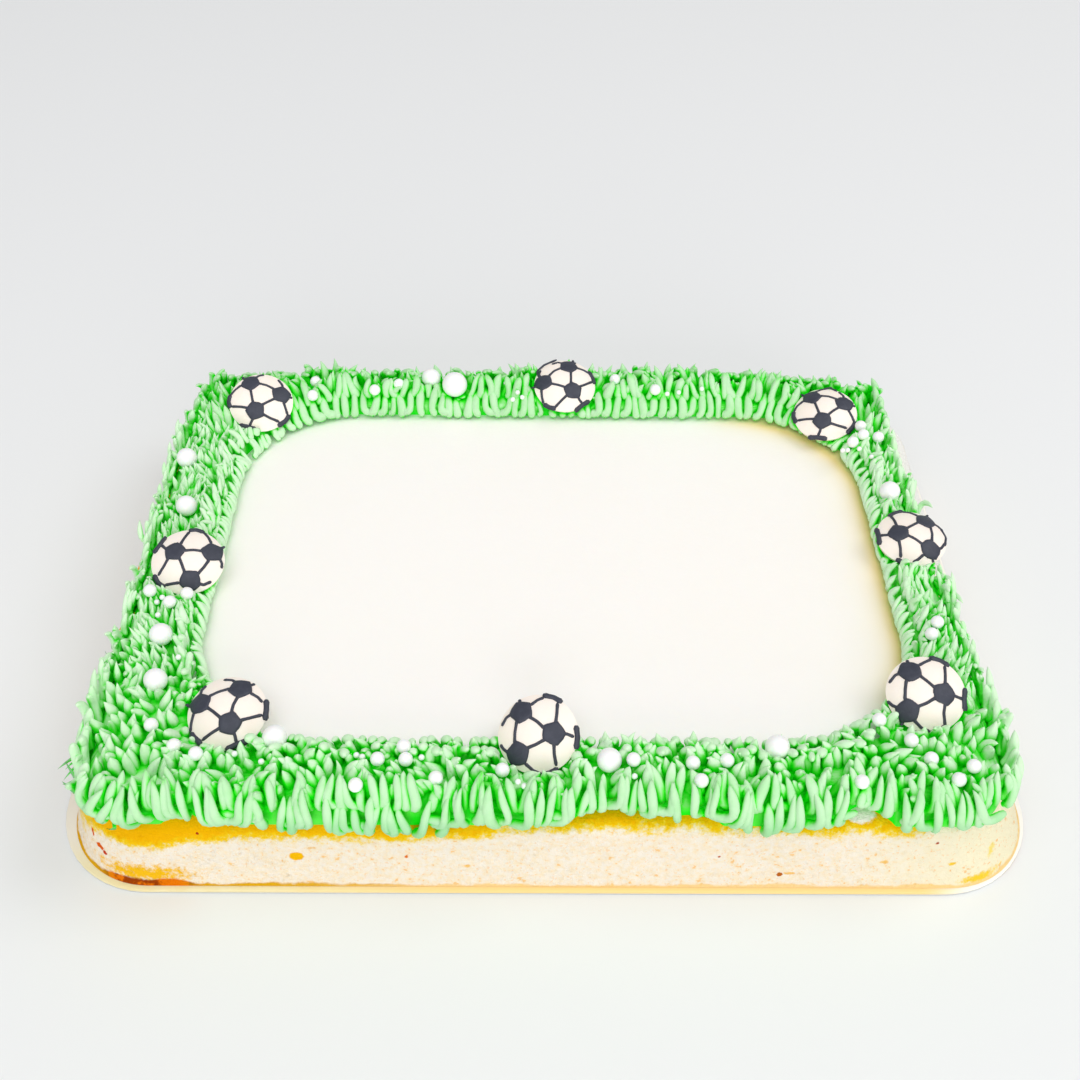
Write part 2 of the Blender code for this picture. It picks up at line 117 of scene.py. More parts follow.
# How many steps an outline is measured in, the step that its slope is read over and its least corner
OUTLINE_STEPS = 4000
SLOPE_STEP = 0.0001
LEAST_CORNER = 0.0005


class Pearls(Enum):
    """The sizes of pearl that lie loose on the grass, with their places on the cake in millimetres."""

    MEDIUM = (
        (-144, -23), (-131, -23), (-136, -28), (-100, 91), (-74, 95), (-64, 99), (-100, 101),
        (-131, -82), (-122, -90), (-114, -94), (-62, -105), (-56, -95), (-48, -90), (-47, -95),
        (-37, -102), (-16, -99), (26, -95), (45, -96), (47, -103), (56, -95), (98, -103),
        (108, -79), (117, -87), (122, -94), (129, -102), (135, -97), (137, -36), (134, -41),
        (130, 73), (130, 67), (125, 63), (136, 66), (46, 96), (29, 103),
    )
    SMALL = (
        (-139, -26), (-141, -27), (-139, -34), (-128, -53), (-102, -93), (-93, -96), (-63, -93),
        (-61, -94), (-42, -94), (-11, -104), (-9, -105), (26, -101), (122, 58), (127, 59),
        (120, 58), (131, 54), (-13, 94), (-11, 91), (-15, 89), (51, 94), (56, 95),
        (66, 97),
    )


@dataclass(frozen=True)
class TopperSpot:
    """Where one ball topper lies: place on the cake, turn and leans in degrees."""

    name: str
    x: float
    y: float
    turn: float
    lean_right: float
    lean_front: float


TOPPERS = (
    TopperSpot("back_left", -0.1211, 0.0862, -107, 7, 26),
    TopperSpot("back_middle", 0.0072, 0.1014, -50, 2, 18),
    TopperSpot("back_right", 0.1174, 0.0833, -108, -9, 15),
    TopperSpot("middle_left", -0.1341, -0.0059, 154, 6, 18),
    TopperSpot("middle_right", 0.1385, 0.0103, 179, -1, 7),
    TopperSpot("front_left", -0.1078, -0.0745, -65, -1, 13),
    TopperSpot("front_middle", -0.0044, -0.0842, -2, -7, 24),
    TopperSpot("front_right", 0.1264, -0.0666, -7, -6, 22),
)


def eased(value: Array, start: float, end: float) -> Array:
    """Smooth shares from 0 at the start to 1 at the end."""
    share = np.clip((value - start) / (end - start), 0.0, 1.0)
    return share * share * (3 - 2 * share)


def within(places: Array, along: Pair, across: Pair) -> Array:
    """Smooth shares of how far plan places lie in a region, along the cake and across it."""
    return eased(places[..., 0], *along) * eased(places[..., 1], *across)


def curve_weights(share: Array | float) -> Array:
    """Weights of a curve's four control points at shares of its length."""
    rest = 1 - share
    return np.stack((rest ** 3, 3 * share * rest ** 2, 3 * share ** 2 * rest, share ** 3))


def quarter_round(steps: int) -> list[Pair]:
    """Insets and rises of a round edge of radius 1, from its foot to its top."""
    angles = [math.radians(90 * step / steps) for step in range(steps + 1)]
    return [(1 - math.cos(angle), math.sin(angle)) for angle in angles]


def added(name: str, data: bpy.types.ID) -> bpy.types.Object:
    """A new object in the scene.

    Args:
        name: the object's name.
        data: its mesh, light or camera.

    Returns:
        The object.
    """
    item = bpy.data.objects.new(name, data)
    bpy.context.scene.collection.objects.link(item)
    return item


def material_of(name: str, values: dict[str, float | tuple[float, ...]]) -> bpy.types.Material:
    """A new material whose shader has the given values.

    Args:
        name: the material's name.
        values: the values by the shader's sockets.

    Returns:
        The material.
    """
    material = bpy.data.materials.new(name)
    material.use_nodes = True
    for socket, value in values.items():
        material.node_tree.nodes["Principled BSDF"].inputs[socket].default_value = value
    return material


@dataclass(frozen=True)
class Outline:
    """A level rectangle with round corners."""

    half_length: float
    half_width: float
    corner: float
    middle: Pair

    def at(self, turns: Array) -> tuple[Array, Array]:
        """Places and outward directions along the outline.

        Args:
            turns: how far round, where four turns are once round and each starts with a corner.

        Returns:
            The plan places and the outward unit directions.
        """
        quarter = np.floor(turns).astype(int) % 4
        share = 2 * (turns - np.floor(turns))
        signs = np.array(((1, 1), (-1, 1), (-1, -1), (1, -1)), dtype=float)
        reach = np.array((self.half_length - self.corner, self.half_width - self.corner))
        here = signs[quarter] * reach
        ahead = signs[(quarter + 1) % 4] * reach
        angle = (quarter + np.minimum(share, 1.0)) * math.pi / 2
        out = np.stack((np.cos(angle), np.sin(angle)), axis=-1)
        run = np.maximum(share - 1.0, 0.0)[..., None]
        return np.array(self.middle) + here + self.corner * out + run * (ahead - here), out

    def spaced_turns(self, count: int = 0, step_at: Callable[[Array], Array] | None = None) -> Array:
        """Turns spaced along the outline, evenly or by a step that varies from place to place.

        Args:
            count: how many turns, or 0 for as many as the steps give.
            step_at: gives the step at plan places.

        Returns:
            The turns.
        """
        dense = np.linspace(0, 4, OUTLINE_STEPS + 1)
        places, _ = self.at(dense)
        steps = np.linalg.norm(np.diff(places, axis=0), axis=1)
        if step_at:
            steps = steps / step_at(places[1:])
        marks = np.concatenate(([0.0], np.cumsum(steps)))
        count = count or int(marks[-1])
        return np.interp(np.arange(count) / count * marks[-1], marks, dense)

    def outward(self, places: Array) -> Array:
        """Unit directions away from the outline's middle at plan places.

        Args:
            places: the plan places.

        Returns:
            A unit direction for each place.
        """
        slope = np.stack([self.distance(places + step) - self.distance(places - step)
                          for step in SLOPE_STEP * np.eye(2)], axis=-1)
        return slope / np.maximum(np.linalg.norm(slope, axis=-1, keepdims=True), LEAST_LENGTH)

    def inset(self, step: float) -> Outline:
        """The outline moved inwards by a step."""
        return replace(self, half_length=self.half_length - step, half_width=self.half_width - step,
                       corner=max(self.corner - step, LEAST_CORNER))

    def distance(self, places: Array) -> Array:
        """Distances of plan places from the outline, negative inside it.

        Args:
            places: the plan places.

        Returns:
            The distances.
        """
        over_x = np.abs(places[..., 0] - self.middle[0]) - (self.half_length - self.corner)
        over_y = np.abs(places[..., 1] - self.middle[1]) - (self.half_width - self.corner)
        beyond = np.hypot(np.maximum(over_x, 0.0), np.maximum(over_y, 0.0))
        return beyond + np.minimum(np.maximum(over_x, over_y), 0.0) - self.corner


@dataclass(frozen=True)
class CakeSizes:
    """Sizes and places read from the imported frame."""

    middle: Pair
    half_length: float
    half_width: float
    sponge_foot: float
    sponge_top: float
    icing_top: float
    board_half_length: float
    board_half_width: float
    board_top: float

    @classmethod
    def from_frame(cls) -> CakeSizes:
        """Read the boxes of the sponge, the icing and the board.

        Returns:
            The sizes.
        """
        sponge_low, sponge_high = (Vector(corner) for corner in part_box("sponge"))
        board_high = Vector(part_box("cake_board")[1])
        icing_high = Vector(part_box("white_icing")[1])
        middle = (sponge_low + sponge_high) / 2
        size = sponge_high - sponge_low
        return cls((middle.x, middle.y), size.x / 2, size.y / 2, sponge_low.z, sponge_high.z, icing_high.z,
                   board_high.x, board_high.y, board_high.z)

    def level(self, inset: float, rise: float) -> Outline:
        """The sponge's outline, inset from its wall, at a share of the way up the leaning wall."""
        return Outline(self.half_length - rise * END_LEAN - inset, self.half_width - rise * SIDE_LEAN - inset,
                       SPONGE_CORNER - inset, (self.middle[0] + rise * TOP_SHIFT, self.middle[1]))

    def border(self, across: float) -> Outline:
        """The outline at a share of the way from the grass border's outer to its inner edge.

        Args:
            across: the share of the way.

        Returns:
            The outline.
        """
        half_length, half_width, corner, x, y = (first + (second - first) * across
                                                 for first, second in zip(OUTER_EDGE, INNER_EDGE))
        return Outline(half_length, half_width, corner, (self.middle[0] + x, self.middle[1] + y))

    def on_cake(self, x: float, y: float, height: float) -> Vector:
        """A place given from the cake's middle, in the frame."""
        return Vector((self.middle[0] + x, self.middle[1] + y, height))


# The part of a noise's range that it mostly keeps to
RIPPLE_SPAN = (0.2, 0.8)


class Sheet:
    """A node tree that is filled with short calls."""

    def __init__(self, tree: bpy.types.NodeTree) -> None:
        """Keep the tree."""
        self.tree = tree

    def add(self, kind: str, values: dict[str | int, object] | None = None,
            **settings: object) -> bpy.types.Node:
        """Add a node.

        Args:
            kind: the node's type, without its ShaderNode prefix.
            values: numbers, colours or outputs to put in, by the input's name or number.
            settings: properties of the node.

        Returns:
            The new node.
        """
        node = self.tree.nodes.new("ShaderNode" + kind)
        for name, setting in settings.items():
            setattr(node, name, setting)
        for name, value in (values or {}).items():
            if isinstance(value, Socket):
                self.tree.links.new(value, node.inputs[name])
            else:
                node.inputs[name].default_value = value
        return node

    def place(self) -> Socket:
        """The place on the piece."""
        return self.add("TexCoord").outputs["Object"]

    def axes(self) -> bpy.types.NodeOutputs:
        """The place on the piece as three numbers, by the axis."""
        return self.add("SeparateXYZ", {"Vector": self.place()}).outputs

    def carried(self, name: str) -> Socket:
        """A value that the mesh carries."""
        return self.add("Attribute", attribute_name=name).outputs["Fac"]

    def noise(self, scale: Value, detail: float, rough: float) -> Socket:
        """Soft noise between 0 and 1."""
        return self.add("TexNoise", {"Vector": self.place(), "Scale": scale, "Detail": detail,
                                     "Roughness": rough}).outputs["Fac"]

    def span(self, value: Value, low: float, high: Value, start: float = 0.0, end: float = 1.0) -> Socket:
        """A value eased from start to end as it goes from low to high."""
        return self.add("MapRange", {"Value": value, "From Min": low, "From Max": high, "To Min": start,
                                     "To Max": end}, interpolation_type="SMOOTHSTEP").outputs["Result"]

    def ripple(self, reach: float, scale: float, detail: float, rough: float) -> Socket:
        """Noise that swings by a reach to both sides of 0."""
        return self.span(self.noise(scale, detail, rough), *RIPPLE_SPAN, -reach, reach)

    def plus(self, first: Value, second: Value, operation: str = "ADD") -> Socket:
        """Two values added, or combined by another operation."""
        return self.add("Math", {0: first, 1: second}, operation=operation).outputs[0]

    def minus(self, first: Value, second: Value) -> Socket:
        """The first value less the second."""
        return self.plus(first, second, "SUBTRACT")

    def times(self, first: Value, second: Value) -> Socket:
        """Two values multiplied."""
        return self.plus(first, second, "MULTIPLY")

    def mix(self, share: Value, first: Socket | Triple, second: Socket | Triple,
            blend_type: str = "MIX") -> Socket:
        """Two colours mixed by a share."""
        return self.add("Mix", {0: share, 6: opaque(first), 7: opaque(second)}, data_type="RGBA",
                        blend_type=blend_type).outputs[2]


def opaque(colour: Socket | Triple) -> Socket | tuple[float, ...]:
    """A colour with its alpha, or a socket as it is."""
    return (*colour, 1.0) if isinstance(colour, tuple) else colour


class Effects:
    """Shader node groups that several finishes share."""

    cloud_noise: Pair = (4.0, 0.6)
    cloud_span: Pair = (0.38, 0.68)
    coarse_noise: Pair = (2.0, 0.5)
    fine_noise: Pair = (3.0, 0.6)
    fine_scale: float = 4.0
    fine_share: float = 0.4
    rag_noise: Triple = (600.0, 4.0, 0.7)
    rag_reach: float = 2.0
    stain_edge: float = 1.1

    def __init__(self) -> None:
        """Build each group once."""
        self.mottle = self.group("mottle", {"Colour": "Color", "Patch": "Color", "Scale": "Float",
                                            "Amount": "Float"}, ("Colour", "Color"), self.mottled)
        self.grain = self.group("grain", {"Scale": "Float"}, ("Height", "Float"), self.grained)
        self.stain = self.group("stain", {"Middle": "Vector", "Size": "Vector", "Rag": "Float",
                                          "Solid": "Float"}, ("Share", "Float"), self.stained)

    @staticmethod
    def group(name: str, inputs: dict[str, str], output: tuple[str, str],
              result: Callable[[Sheet, bpy.types.NodeOutputs], Socket]) -> bpy.types.NodeTree:
        """Make a node group.

        Args:
            name: its name.
            inputs: the kinds of its inputs, by name.
            output: the name and the kind of its output.
            result: adds the nodes between its inputs and its output.

        Returns:
            The group's tree.
        """
        tree = bpy.data.node_groups.new(name, "ShaderNodeTree")
        for socket, kind in inputs.items():
            tree.interface.new_socket(socket, in_out="INPUT", socket_type="NodeSocket" + kind)
        tree.interface.new_socket(output[0], in_out="OUTPUT", socket_type="NodeSocket" + output[1])
        inside = tree.nodes.new("NodeGroupInput").outputs
        out = tree.nodes.new("NodeGroupOutput")
        tree.links.new(result(Sheet(tree), inside), out.inputs[output[0]])
        return tree

    def mottled(self, sheet: Sheet, inside: bpy.types.NodeOutputs) -> Socket:
        """Cloudy variation of a colour, darker by an amount in its patches."""
        cloud = sheet.span(sheet.noise(inside["Scale"], *self.cloud_noise), *self.cloud_span)
        return sheet.mix(sheet.times(cloud, inside["Amount"]), inside["Colour"], inside["Patch"])

    def grained(self, sheet: Sheet, inside: bpy.types.NodeOutputs) -> Socket:
        """Fine unevenness of a surface, from two sizes of noise.

        Args:
            sheet: the sheet that the nodes go on.
            inside: the group's inputs.

        Returns:
            The height.
        """
        coarse = sheet.noise(inside["Scale"], *self.coarse_noise)
        fine = sheet.noise(sheet.times(inside["Scale"], self.fine_scale), *self.fine_noise)
        return sheet.plus(coarse, sheet.times(fine, self.fine_share))

    def stained(self, sheet: Sheet, inside: bpy.types.NodeOutputs) -> Socket:
        """A blot round a place, with a ragged edge.

        Args:
            sheet: the sheet that the nodes go on.
            inside: the group's inputs.

        Returns:
            The share of the surface that the blot covers.
        """
        offset = sheet.add("VectorMath", {0: sheet.place(), 1: inside["Middle"]}, operation="SUBTRACT")
        scaled = sheet.add("VectorMath", {0: offset.outputs[0], 1: inside["Size"]}, operation="DIVIDE")
        reach = sheet.add("VectorMath", {0: scaled.outputs[0]}, operation="LENGTH").outputs["Value"]
        ripple = sheet.times(sheet.minus(sheet.noise(*self.rag_noise), 0.5), inside["Rag"])
        edge = sheet.plus(reach, sheet.times(ripple, self.rag_reach))
        return sheet.span(edge, self.stain_edge, inside["Solid"])


@dataclass(frozen=True)
class Finish:
    """A finish: its colour, the colour of its patches, its gloss and its relief."""

    name: str
    slot: str
    colour: Triple
    patch: Triple
    patch_scale: float = 60.0
    patch_amount: float = 0.4
    roughness: float = 0.5
    shine: float = 0.5
    coat: float = 0.0
    coat_roughness: float = 0.2
    subsurface: float = 0.0
    subsurface_reach: float = 0.002
    subsurface_tint: Triple = (1.0, 0.8, 0.6)
    grain_scale: float = 900.0
    grain_depth: float = 0.0001

    def build(self, effects: Effects) -> bpy.types.Material:
        """Make the material from its nodes.

        Args:
            effects: the shared node groups.

        Returns:
            The material.
        """
        material = material_of(self.name, {
            "Roughness": self.roughness, "Specular IOR Level": self.shine, "Coat Weight": self.coat,
            "Coat Roughness": self.coat_roughness, "Subsurface Weight": self.subsurface,
            "Subsurface Scale": self.subsurface_reach, "Subsurface Radius": self.subsurface_tint})
        sheet = Sheet(material.node_tree)
        shader = sheet.tree.nodes["Principled BSDF"]
        sheet.tree.links.new(self.paint(sheet, effects), shader.inputs["Base Color"])
        bump = sheet.add("Bump", {"Height": self.relief(sheet, effects), "Distance": self.grain_depth,
                                  "Strength": 1.0})
        sheet.tree.links.new(bump.outputs["Normal"], shader.inputs["Normal"])
        return material

    def mottled(self, sheet: Sheet, effects: Effects) -> Socket:
        """The finish's colour with its patches on it.

        Args:
            sheet: the sheet that the nodes go on.
            effects: the shared node groups.

        Returns:
            The colour.
        """
        values = {"Colour": opaque(self.colour), "Patch": opaque(self.patch), "Scale": self.patch_scale,
                  "Amount": self.patch_amount}
        return sheet.add("Group", values, node_tree=effects.mottle).outputs["Colour"]

    def paint(self, sheet: Sheet, effects: Effects) -> Socket:
        """The colour over the surface."""
        return self.mottled(sheet, effects)

    def relief(self, sheet: Sheet, effects: Effects) -> Socket:
        """The height over the surface."""
        return sheet.add("Group", {"Scale": self.grain_scale}, node_tree=effects.grain).outputs["Height"]


@dataclass(frozen=True)
class GrassFinish(Finish):
    """Buttercream with painted shade: pale where it is open, and painted a vivid green shade where it is
    hemmed in.

    Painted shade also darkens it in front, behind and at the feet of the front strands.  The spans are places
    across the cake.
    """

    # Painted shade: the half-shade green and the full crevice-shade green that the carried occlusion mixes in
    middle: Triple = (0.14, 0.84, 0.08)
    crevice_shade: Triple = (0.003, 0.86, 0.003)
    # Painted shade multiplied in at both ends and at the front strands' feet, with extra occlusion added at
    # the ends
    front: Triple = (0.76, 0.88, 0.76)
    feet: Triple = (0.74, 0.88, 0.80)
    end_shade: float = 0.13
    front_shading_span: Pair = (-0.098, -0.108)
    back_shade_span: Pair = (0.070, 0.084)
    shaded_feet_span: Pair = (-0.102, -0.108)
    shaded_feet_heights: Pair = (0.043, 0.035)
    # Spans of occlusion over which the painted half shade and full shade come in
    half_shade_occlusions: Pair = (0.25, 0.76)
    full_shade_occlusions: Pair = (0.58, 0.90)

    def paint(self, sheet: Sheet, effects: Effects) -> Socket:
        """The pale colour with painted shade: darker at the ends and low on the front strands, then deepened
        in two steps by the carried occlusion.

        Args:
            sheet: the sheet that the nodes go on.
            effects: the shared node groups.

        Returns:
            The colour over the surface.
        """
        place = sheet.axes()
        # Painted shade: darker at both ends and low on the front strands
        ends = sheet.plus(sheet.span(place["Y"], *self.front_shading_span), sheet.span(place["Y"], *self.back_shade_span))
        low = sheet.times(sheet.span(place["Y"], *self.shaded_feet_span), sheet.span(place["Z"], *self.shaded_feet_heights))
        occlusion = sheet.plus(sheet.carried("occlusion"), sheet.times(ends, self.end_shade))
        colour = sheet.mix(ends, self.mottled(sheet, effects), self.front, "MULTIPLY")
        colour = sheet.mix(low, colour, self.feet, "MULTIPLY")
        colour = sheet.mix(sheet.span(occlusion, *self.half_shade_occlusions), colour, self.middle)
        return sheet.mix(sheet.span(occlusion, *self.full_shade_occlusions), colour, self.crevice_shade)


@dataclass(frozen=True)
class Stain:
    """A stain on the crumb: middle, half sizes, colour, raggedness and the share that is solid."""

    middle: Triple
    size: Triple
    colour: Triple
    rag: float = 0.5
    solid: float = 0.85


STAINS = (
    Stain((-0.1330, -0.115, 0.0082), (0.019, 0.03, 0.0048), (1.0, 0.56, 0.01), 1.2, 0.35),
    Stain((-0.1565, -0.100, 0.0200), (0.0035, 0.03, 0.0100), (1.0, 0.75, 0.14), 1.0, 0.1),
    Stain((-0.1540, -0.105, 0.0215), (0.006, 0.03, 0.0050), (1.0, 0.68, 0.04), 1.4, 0.2),
    Stain((-0.1505, -0.115, 0.0178), (0.0006, 0.02, 0.0020), (0.80, 0.12, 0.002), 0.9),
    Stain((-0.1482, -0.115, 0.0140), (0.0016, 0.02, 0.0013), (0.80, 0.12, 0.002), 0.9),
    Stain((-0.1465, -0.115, 0.0125), (0.0008, 0.02, 0.0008), (0.60, 0.04, 0.002), 0.6),
    Stain((-0.0823, -0.115, 0.0165), (0.0024, 0.02, 0.0021), (1.0, 0.53, 0.001), 0.15),
    Stain((0.0774, -0.115, 0.0083), (0.0010, 0.02, 0.0010), (0.55, 0.14, 0.01), 0.8),
    Stain((0.0805, -0.115, 0.0090), (0.0020, 0.02, 0.0007), (1.0, 0.62, 0.20), 0.8),
    Stain((0.1450, -0.112, 0.0050), (0.0085, 0.03, 0.0024), (1.0, 0.68, 0.04), 1.0, 0.3),
    Stain((0.1340, -0.112, 0.0140), (0.0016, 0.03, 0.0010), (1.0, 0.66, 0.06), 1.0, 0.5),
    Stain((0.1480, -0.110, 0.0140), (0.0018, 0.03, 0.0030), (1.0, 0.80, 0.20), 1.0, 0.2),
    Stain((-0.1130, -0.115, 0.0275), (0.0005, 0.02, 0.0007), (0.45, 0.03, 0.01), 0.3),
    Stain((-0.1260, -0.115, 0.0345), (0.0050, 0.02, 0.0024), (1.0, 0.92, 0.86), 0.6),
    Stain((0.1010, -0.115, 0.0345), (0.0055, 0.02, 0.0030), (1.0, 0.93, 0.88), 0.4),
    Stain((0.1560, 0.035, 0.0330), (0.0150, 0.095, 0.0050), (1.0, 0.98, 0.94), 0.2, 0.6),
    Stain((-0.0463, -0.115, 0.0170), (0.0007, 0.02, 0.0007), (0.85, 0.22, 0.02), 0.3, 0.5),
    Stain((-0.0265, -0.115, 0.0124), (0.0014, 0.02, 0.0009), (0.98, 0.60, 0.18), 0.6, 0.4),
    Stain((0.0563, -0.115, 0.0174), (0.0006, 0.02, 0.0006), (0.55, 0.12, 0.02), 0.3, 0.5),
    Stain((0.1111, -0.115, 0.0151), (0.0018, 0.02, 0.0011), (0.98, 0.60, 0.16), 0.8, 0.4),
    Stain((0.1266, -0.115, 0.0248), (0.0007, 0.02, 0.0006), (0.45, 0.08, 0.02), 0.3, 0.5),
)


@dataclass(frozen=True)
class SpongeFinish(Finish):
    """Cake crumb with a torn golden crust over its shoulder and a browned line at its foot."""

    warm: Triple = (1.0, 0.92, 0.66)
    crust: Triple = (1.0, 0.51, 0.0)
    pale_crust: Triple = (1.0, 0.70, 0.01)
    foot_gold: Triple = (0.80, 0.42, 0.005)
    foot_pale: Triple = (1.0, 0.66, 0.22)
    foot_orange: Triple = (0.88, 0.20, 0.001)
    foot_brown: Triple = (0.36, 0.055, 0.001)
    speck: Triple = (0.98, 0.60, 0.22)
    warm_span: Pair = (0.09, 0.15)
    speck_layers: tuple[Triple, ...] = ((900.0, 0.62, 0.45), (420.0, 0.66, 0.8))
    speck_noise: Pair = (2.0, 0.5)
    speck_edge: float = 0.06
    crust_height: float = 0.0193
    crust_steps: tuple[Triple, ...] = ((-0.140, -0.100, 0.0048), (-0.060, 0.012, 0.0050),
                                       (0.055, 0.080, -0.0010), (0.112, 0.140, 0.0090))
    tears: tuple[tuple[float, ...], ...] = ((0.0016, 90.0, 2.0, 0.5), (0.0018, 450.0, 3.0, 0.6),
                                            (0.0008, 1500.0, 3.0, 0.6))
    foot_wave: tuple[float, ...] = (0.0007, 140.0, 3.0, 0.5)
    crust_edge: Pair = (-0.0016, 0.0022)
    crust_fade: Pair = (0.0004, 0.0050)
    thick_spans: tuple[Pair, Pair] = ((-0.153, -0.143), (-0.124, -0.112))
    foot_heights: Pair = (0.0034, 0.0054)
    foot_edge: Pair = (0.0006, -0.0006)
    foot_fade: Pair = (-0.10, -0.03)
    foot_right: float = 0.8
    gold_span: Pair = (-0.075, -0.030)
    brown_noise: Triple = (200.0, 3.0, 0.5)
    brown_lift: float = 0.1
    brown_span: Pair = (-0.134, -0.126)
    brown_edge: Pair = (0.46, 0.56)

    def crust_line(self, sheet: Sheet, along: Socket) -> Socket:
        """The height down to which the crust reaches, lowest at the left end.

        Args:
            sheet: the sheet that the nodes go on.
            along: the place along the cake.

        Returns:
            The height.
        """
        height = self.crust_height
        for start, end, rise in self.crust_steps:
            height = sheet.plus(sheet.span(along, start, end, 0.0, rise), height)
        return height

    def torn(self, sheet: Sheet) -> Socket:
        """The raggedness of the crust's edge, from three sizes of noise."""
        return reduce(sheet.plus, [sheet.ripple(*tear) for tear in self.tears])

    def crumb(self, sheet: Sheet, effects: Effects, along: Socket) -> Socket:
        """The plain crumb with its specks, warmer at the right end.

        Args:
            sheet: the sheet that the nodes go on.
            effects: the shared node groups.
            along: the place along the cake.

        Returns:
            The colour.
        """
        crumb = sheet.mix(sheet.span(along, *self.warm_span), self.mottled(sheet, effects), self.warm)
        for scale, low, amount in self.speck_layers:
            specks = sheet.span(sheet.noise(scale, *self.speck_noise), low, low + self.speck_edge)
            crumb = sheet.mix(sheet.times(specks, amount), crumb, self.speck)
        return crumb

    def foot(self, sheet: Sheet, along: Socket, height: Socket) -> tuple[Socket, Socket]:
        """The browned line at the foot, thick and burnt near the left end.

        Args:
            sheet: the sheet that the nodes go on.
            along: the place along the cake.
            height: the height over the floor.

        Returns:
            The share of the surface that the line covers, and its colour.
        """
        near, far = self.thick_spans
        thick = sheet.times(sheet.span(along, *near), sheet.span(along, *far, 1.0, 0.0))
        foot_top = sheet.span(thick, 0.0, 1.0, *self.foot_heights)
        wavy = sheet.plus(height, sheet.ripple(*self.foot_wave))
        share = sheet.times(sheet.span(sheet.minus(wavy, foot_top), *self.foot_edge),
                            sheet.span(along, *self.foot_fade, 1.0, self.foot_right))
        gold = sheet.mix(sheet.span(along, *self.gold_span), self.foot_gold, self.foot_pale)
        lift = sheet.span(along, *self.brown_span, self.brown_lift, -self.brown_lift)
        brown = sheet.plus(sheet.noise(*self.brown_noise), lift)
        burnt = sheet.mix(sheet.span(brown, *self.brown_edge), self.foot_orange, self.foot_brown)
        return share, sheet.mix(thick, gold, burnt)

    def paint(self, sheet: Sheet, effects: Effects) -> Socket:
        """Crumb with its specks and stains, then the crust and the foot line.

        Args:
            sheet: the sheet that the nodes go on.
            effects: the shared node groups.

        Returns:
            The colour over the surface.
        """
        place = sheet.axes()
        along, height = place["X"], place["Z"]
        over_line = sheet.minus(sheet.plus(height, self.torn(sheet)), self.crust_line(sheet, along))
        crust = sheet.mix(sheet.span(over_line, *self.crust_fade), self.pale_crust, self.crust)
        colour = sheet.mix(sheet.span(over_line, *self.crust_edge), self.crumb(sheet, effects, along), crust)
        for stain in STAINS:
            share = sheet.add("Group", {"Middle": stain.middle, "Size": stain.size, "Rag": stain.rag,
                                        "Solid": stain.solid}, node_tree=effects.stain).outputs["Share"]
            colour = sheet.mix(share, colour, stain.colour)
        share, foot = self.foot(sheet, along, height)
        return sheet.mix(share, colour, foot)


@dataclass(frozen=True)
class IcingFinish(Finish):
    """White icing with a painted highlight that whitens it in front, and a painted warm shade where the mesh
    carries it.
    """

    # Colour of the painted warm shade
    shade_tint: Triple = (1.0, 0.72, 0.32)
    # Painted highlight: a whiter colour mixed in towards the front, where the front grass shades the icing
    front: Triple = (1.0, 0.965, 0.945)
    front_shading_span: Pair = (-0.040, -0.080)

    def paint(self, sheet: Sheet, effects: Effects) -> Socket:
        """The mottled icing with its painted front highlight and its painted warm shade.

        Args:
            sheet: the sheet that the nodes go on.
            effects: the shared node groups.

        Returns:
            The colour over the surface.
        """
        # Painted highlight towards the front, then painted warm shade
        near = sheet.span(sheet.axes()["Y"], *self.front_shading_span)
        colour = sheet.mix(near, self.mottled(sheet, effects), self.front)
        return sheet.mix(sheet.carried("warm_shade"), colour, self.shade_tint)


@dataclass(frozen=True)
class CardFinish(Finish):
    """Card with a cream and gold face and a grey-white edge, browned at the right end."""

    gold: Triple = (0.95, 0.68, 0.28)
    left: Triple = (0.88, 0.82, 0.70)
    right: Triple = (0.95, 0.92, 0.85)
    edge: Triple = (0.64, 0.65, 0.62)
    right_edge: Triple = (0.50, 0.26, 0.05)
    left_span: Pair = (-0.112, -0.095)
    gold_span: Pair = (-0.12, -0.02)
    right_span: Pair = (0.125, 0.145)
    edge_span: Pair = (0.150, 0.160)
    face_heights: Pair = (0.0008, 0.0009)

    def paint(self, sheet: Sheet, effects: Effects) -> Socket:
        """The face goes from cream over gold to cream along the front, and the edge is plain.

        Args:
            sheet: the sheet that the nodes go on.
            effects: the shared node groups.

        Returns:
            The colour over the surface.
        """
        place = sheet.axes()
        face = self.mottled(sheet, effects)
        for axis, span, colour in (("Y", self.left_span, self.left), ("X", self.gold_span, self.gold),
                                   ("X", self.right_span, self.right)):
            face = sheet.mix(sheet.span(place[axis], *span), face, colour)
        rim = sheet.mix(sheet.span(place["X"], *self.edge_span), self.edge, self.right_edge)
        return sheet.mix(sheet.span(place["Z"], *self.face_heights), rim, face)


GRASS = GrassFinish("buttercream_grass", "green_buttercream", (0.70, 0.94, 0.66), (0.48, 0.86, 0.44),
                    patch_scale=110.0, patch_amount=0.5, roughness=0.5, shine=0.15, subsurface=0.1,
                    subsurface_reach=0.0015, grain_scale=700.0, grain_depth=0.00012)
WISPS = replace(GRASS, name="buttercream_wisps", colour=(0.24, 0.60, 0.24), patch=(0.12, 0.42, 0.14))
CRUMB = SpongeFinish("cake_crumb", "sponge_crumb", (1.0, 0.91, 0.78), (1.0, 0.83, 0.56),
                     patch_scale=420.0, patch_amount=0.8, roughness=0.85, shine=0.05,
                     grain_scale=1100.0, grain_depth=0.0007)
ICING = IcingFinish("white_icing", "white_icing", (0.975, 0.945, 0.905), (0.96, 0.925, 0.875),
                    patch_scale=16.0, patch_amount=0.35, roughness=0.38, subsurface=0.1, grain_scale=160.0,
                    grain_depth=0.0001)
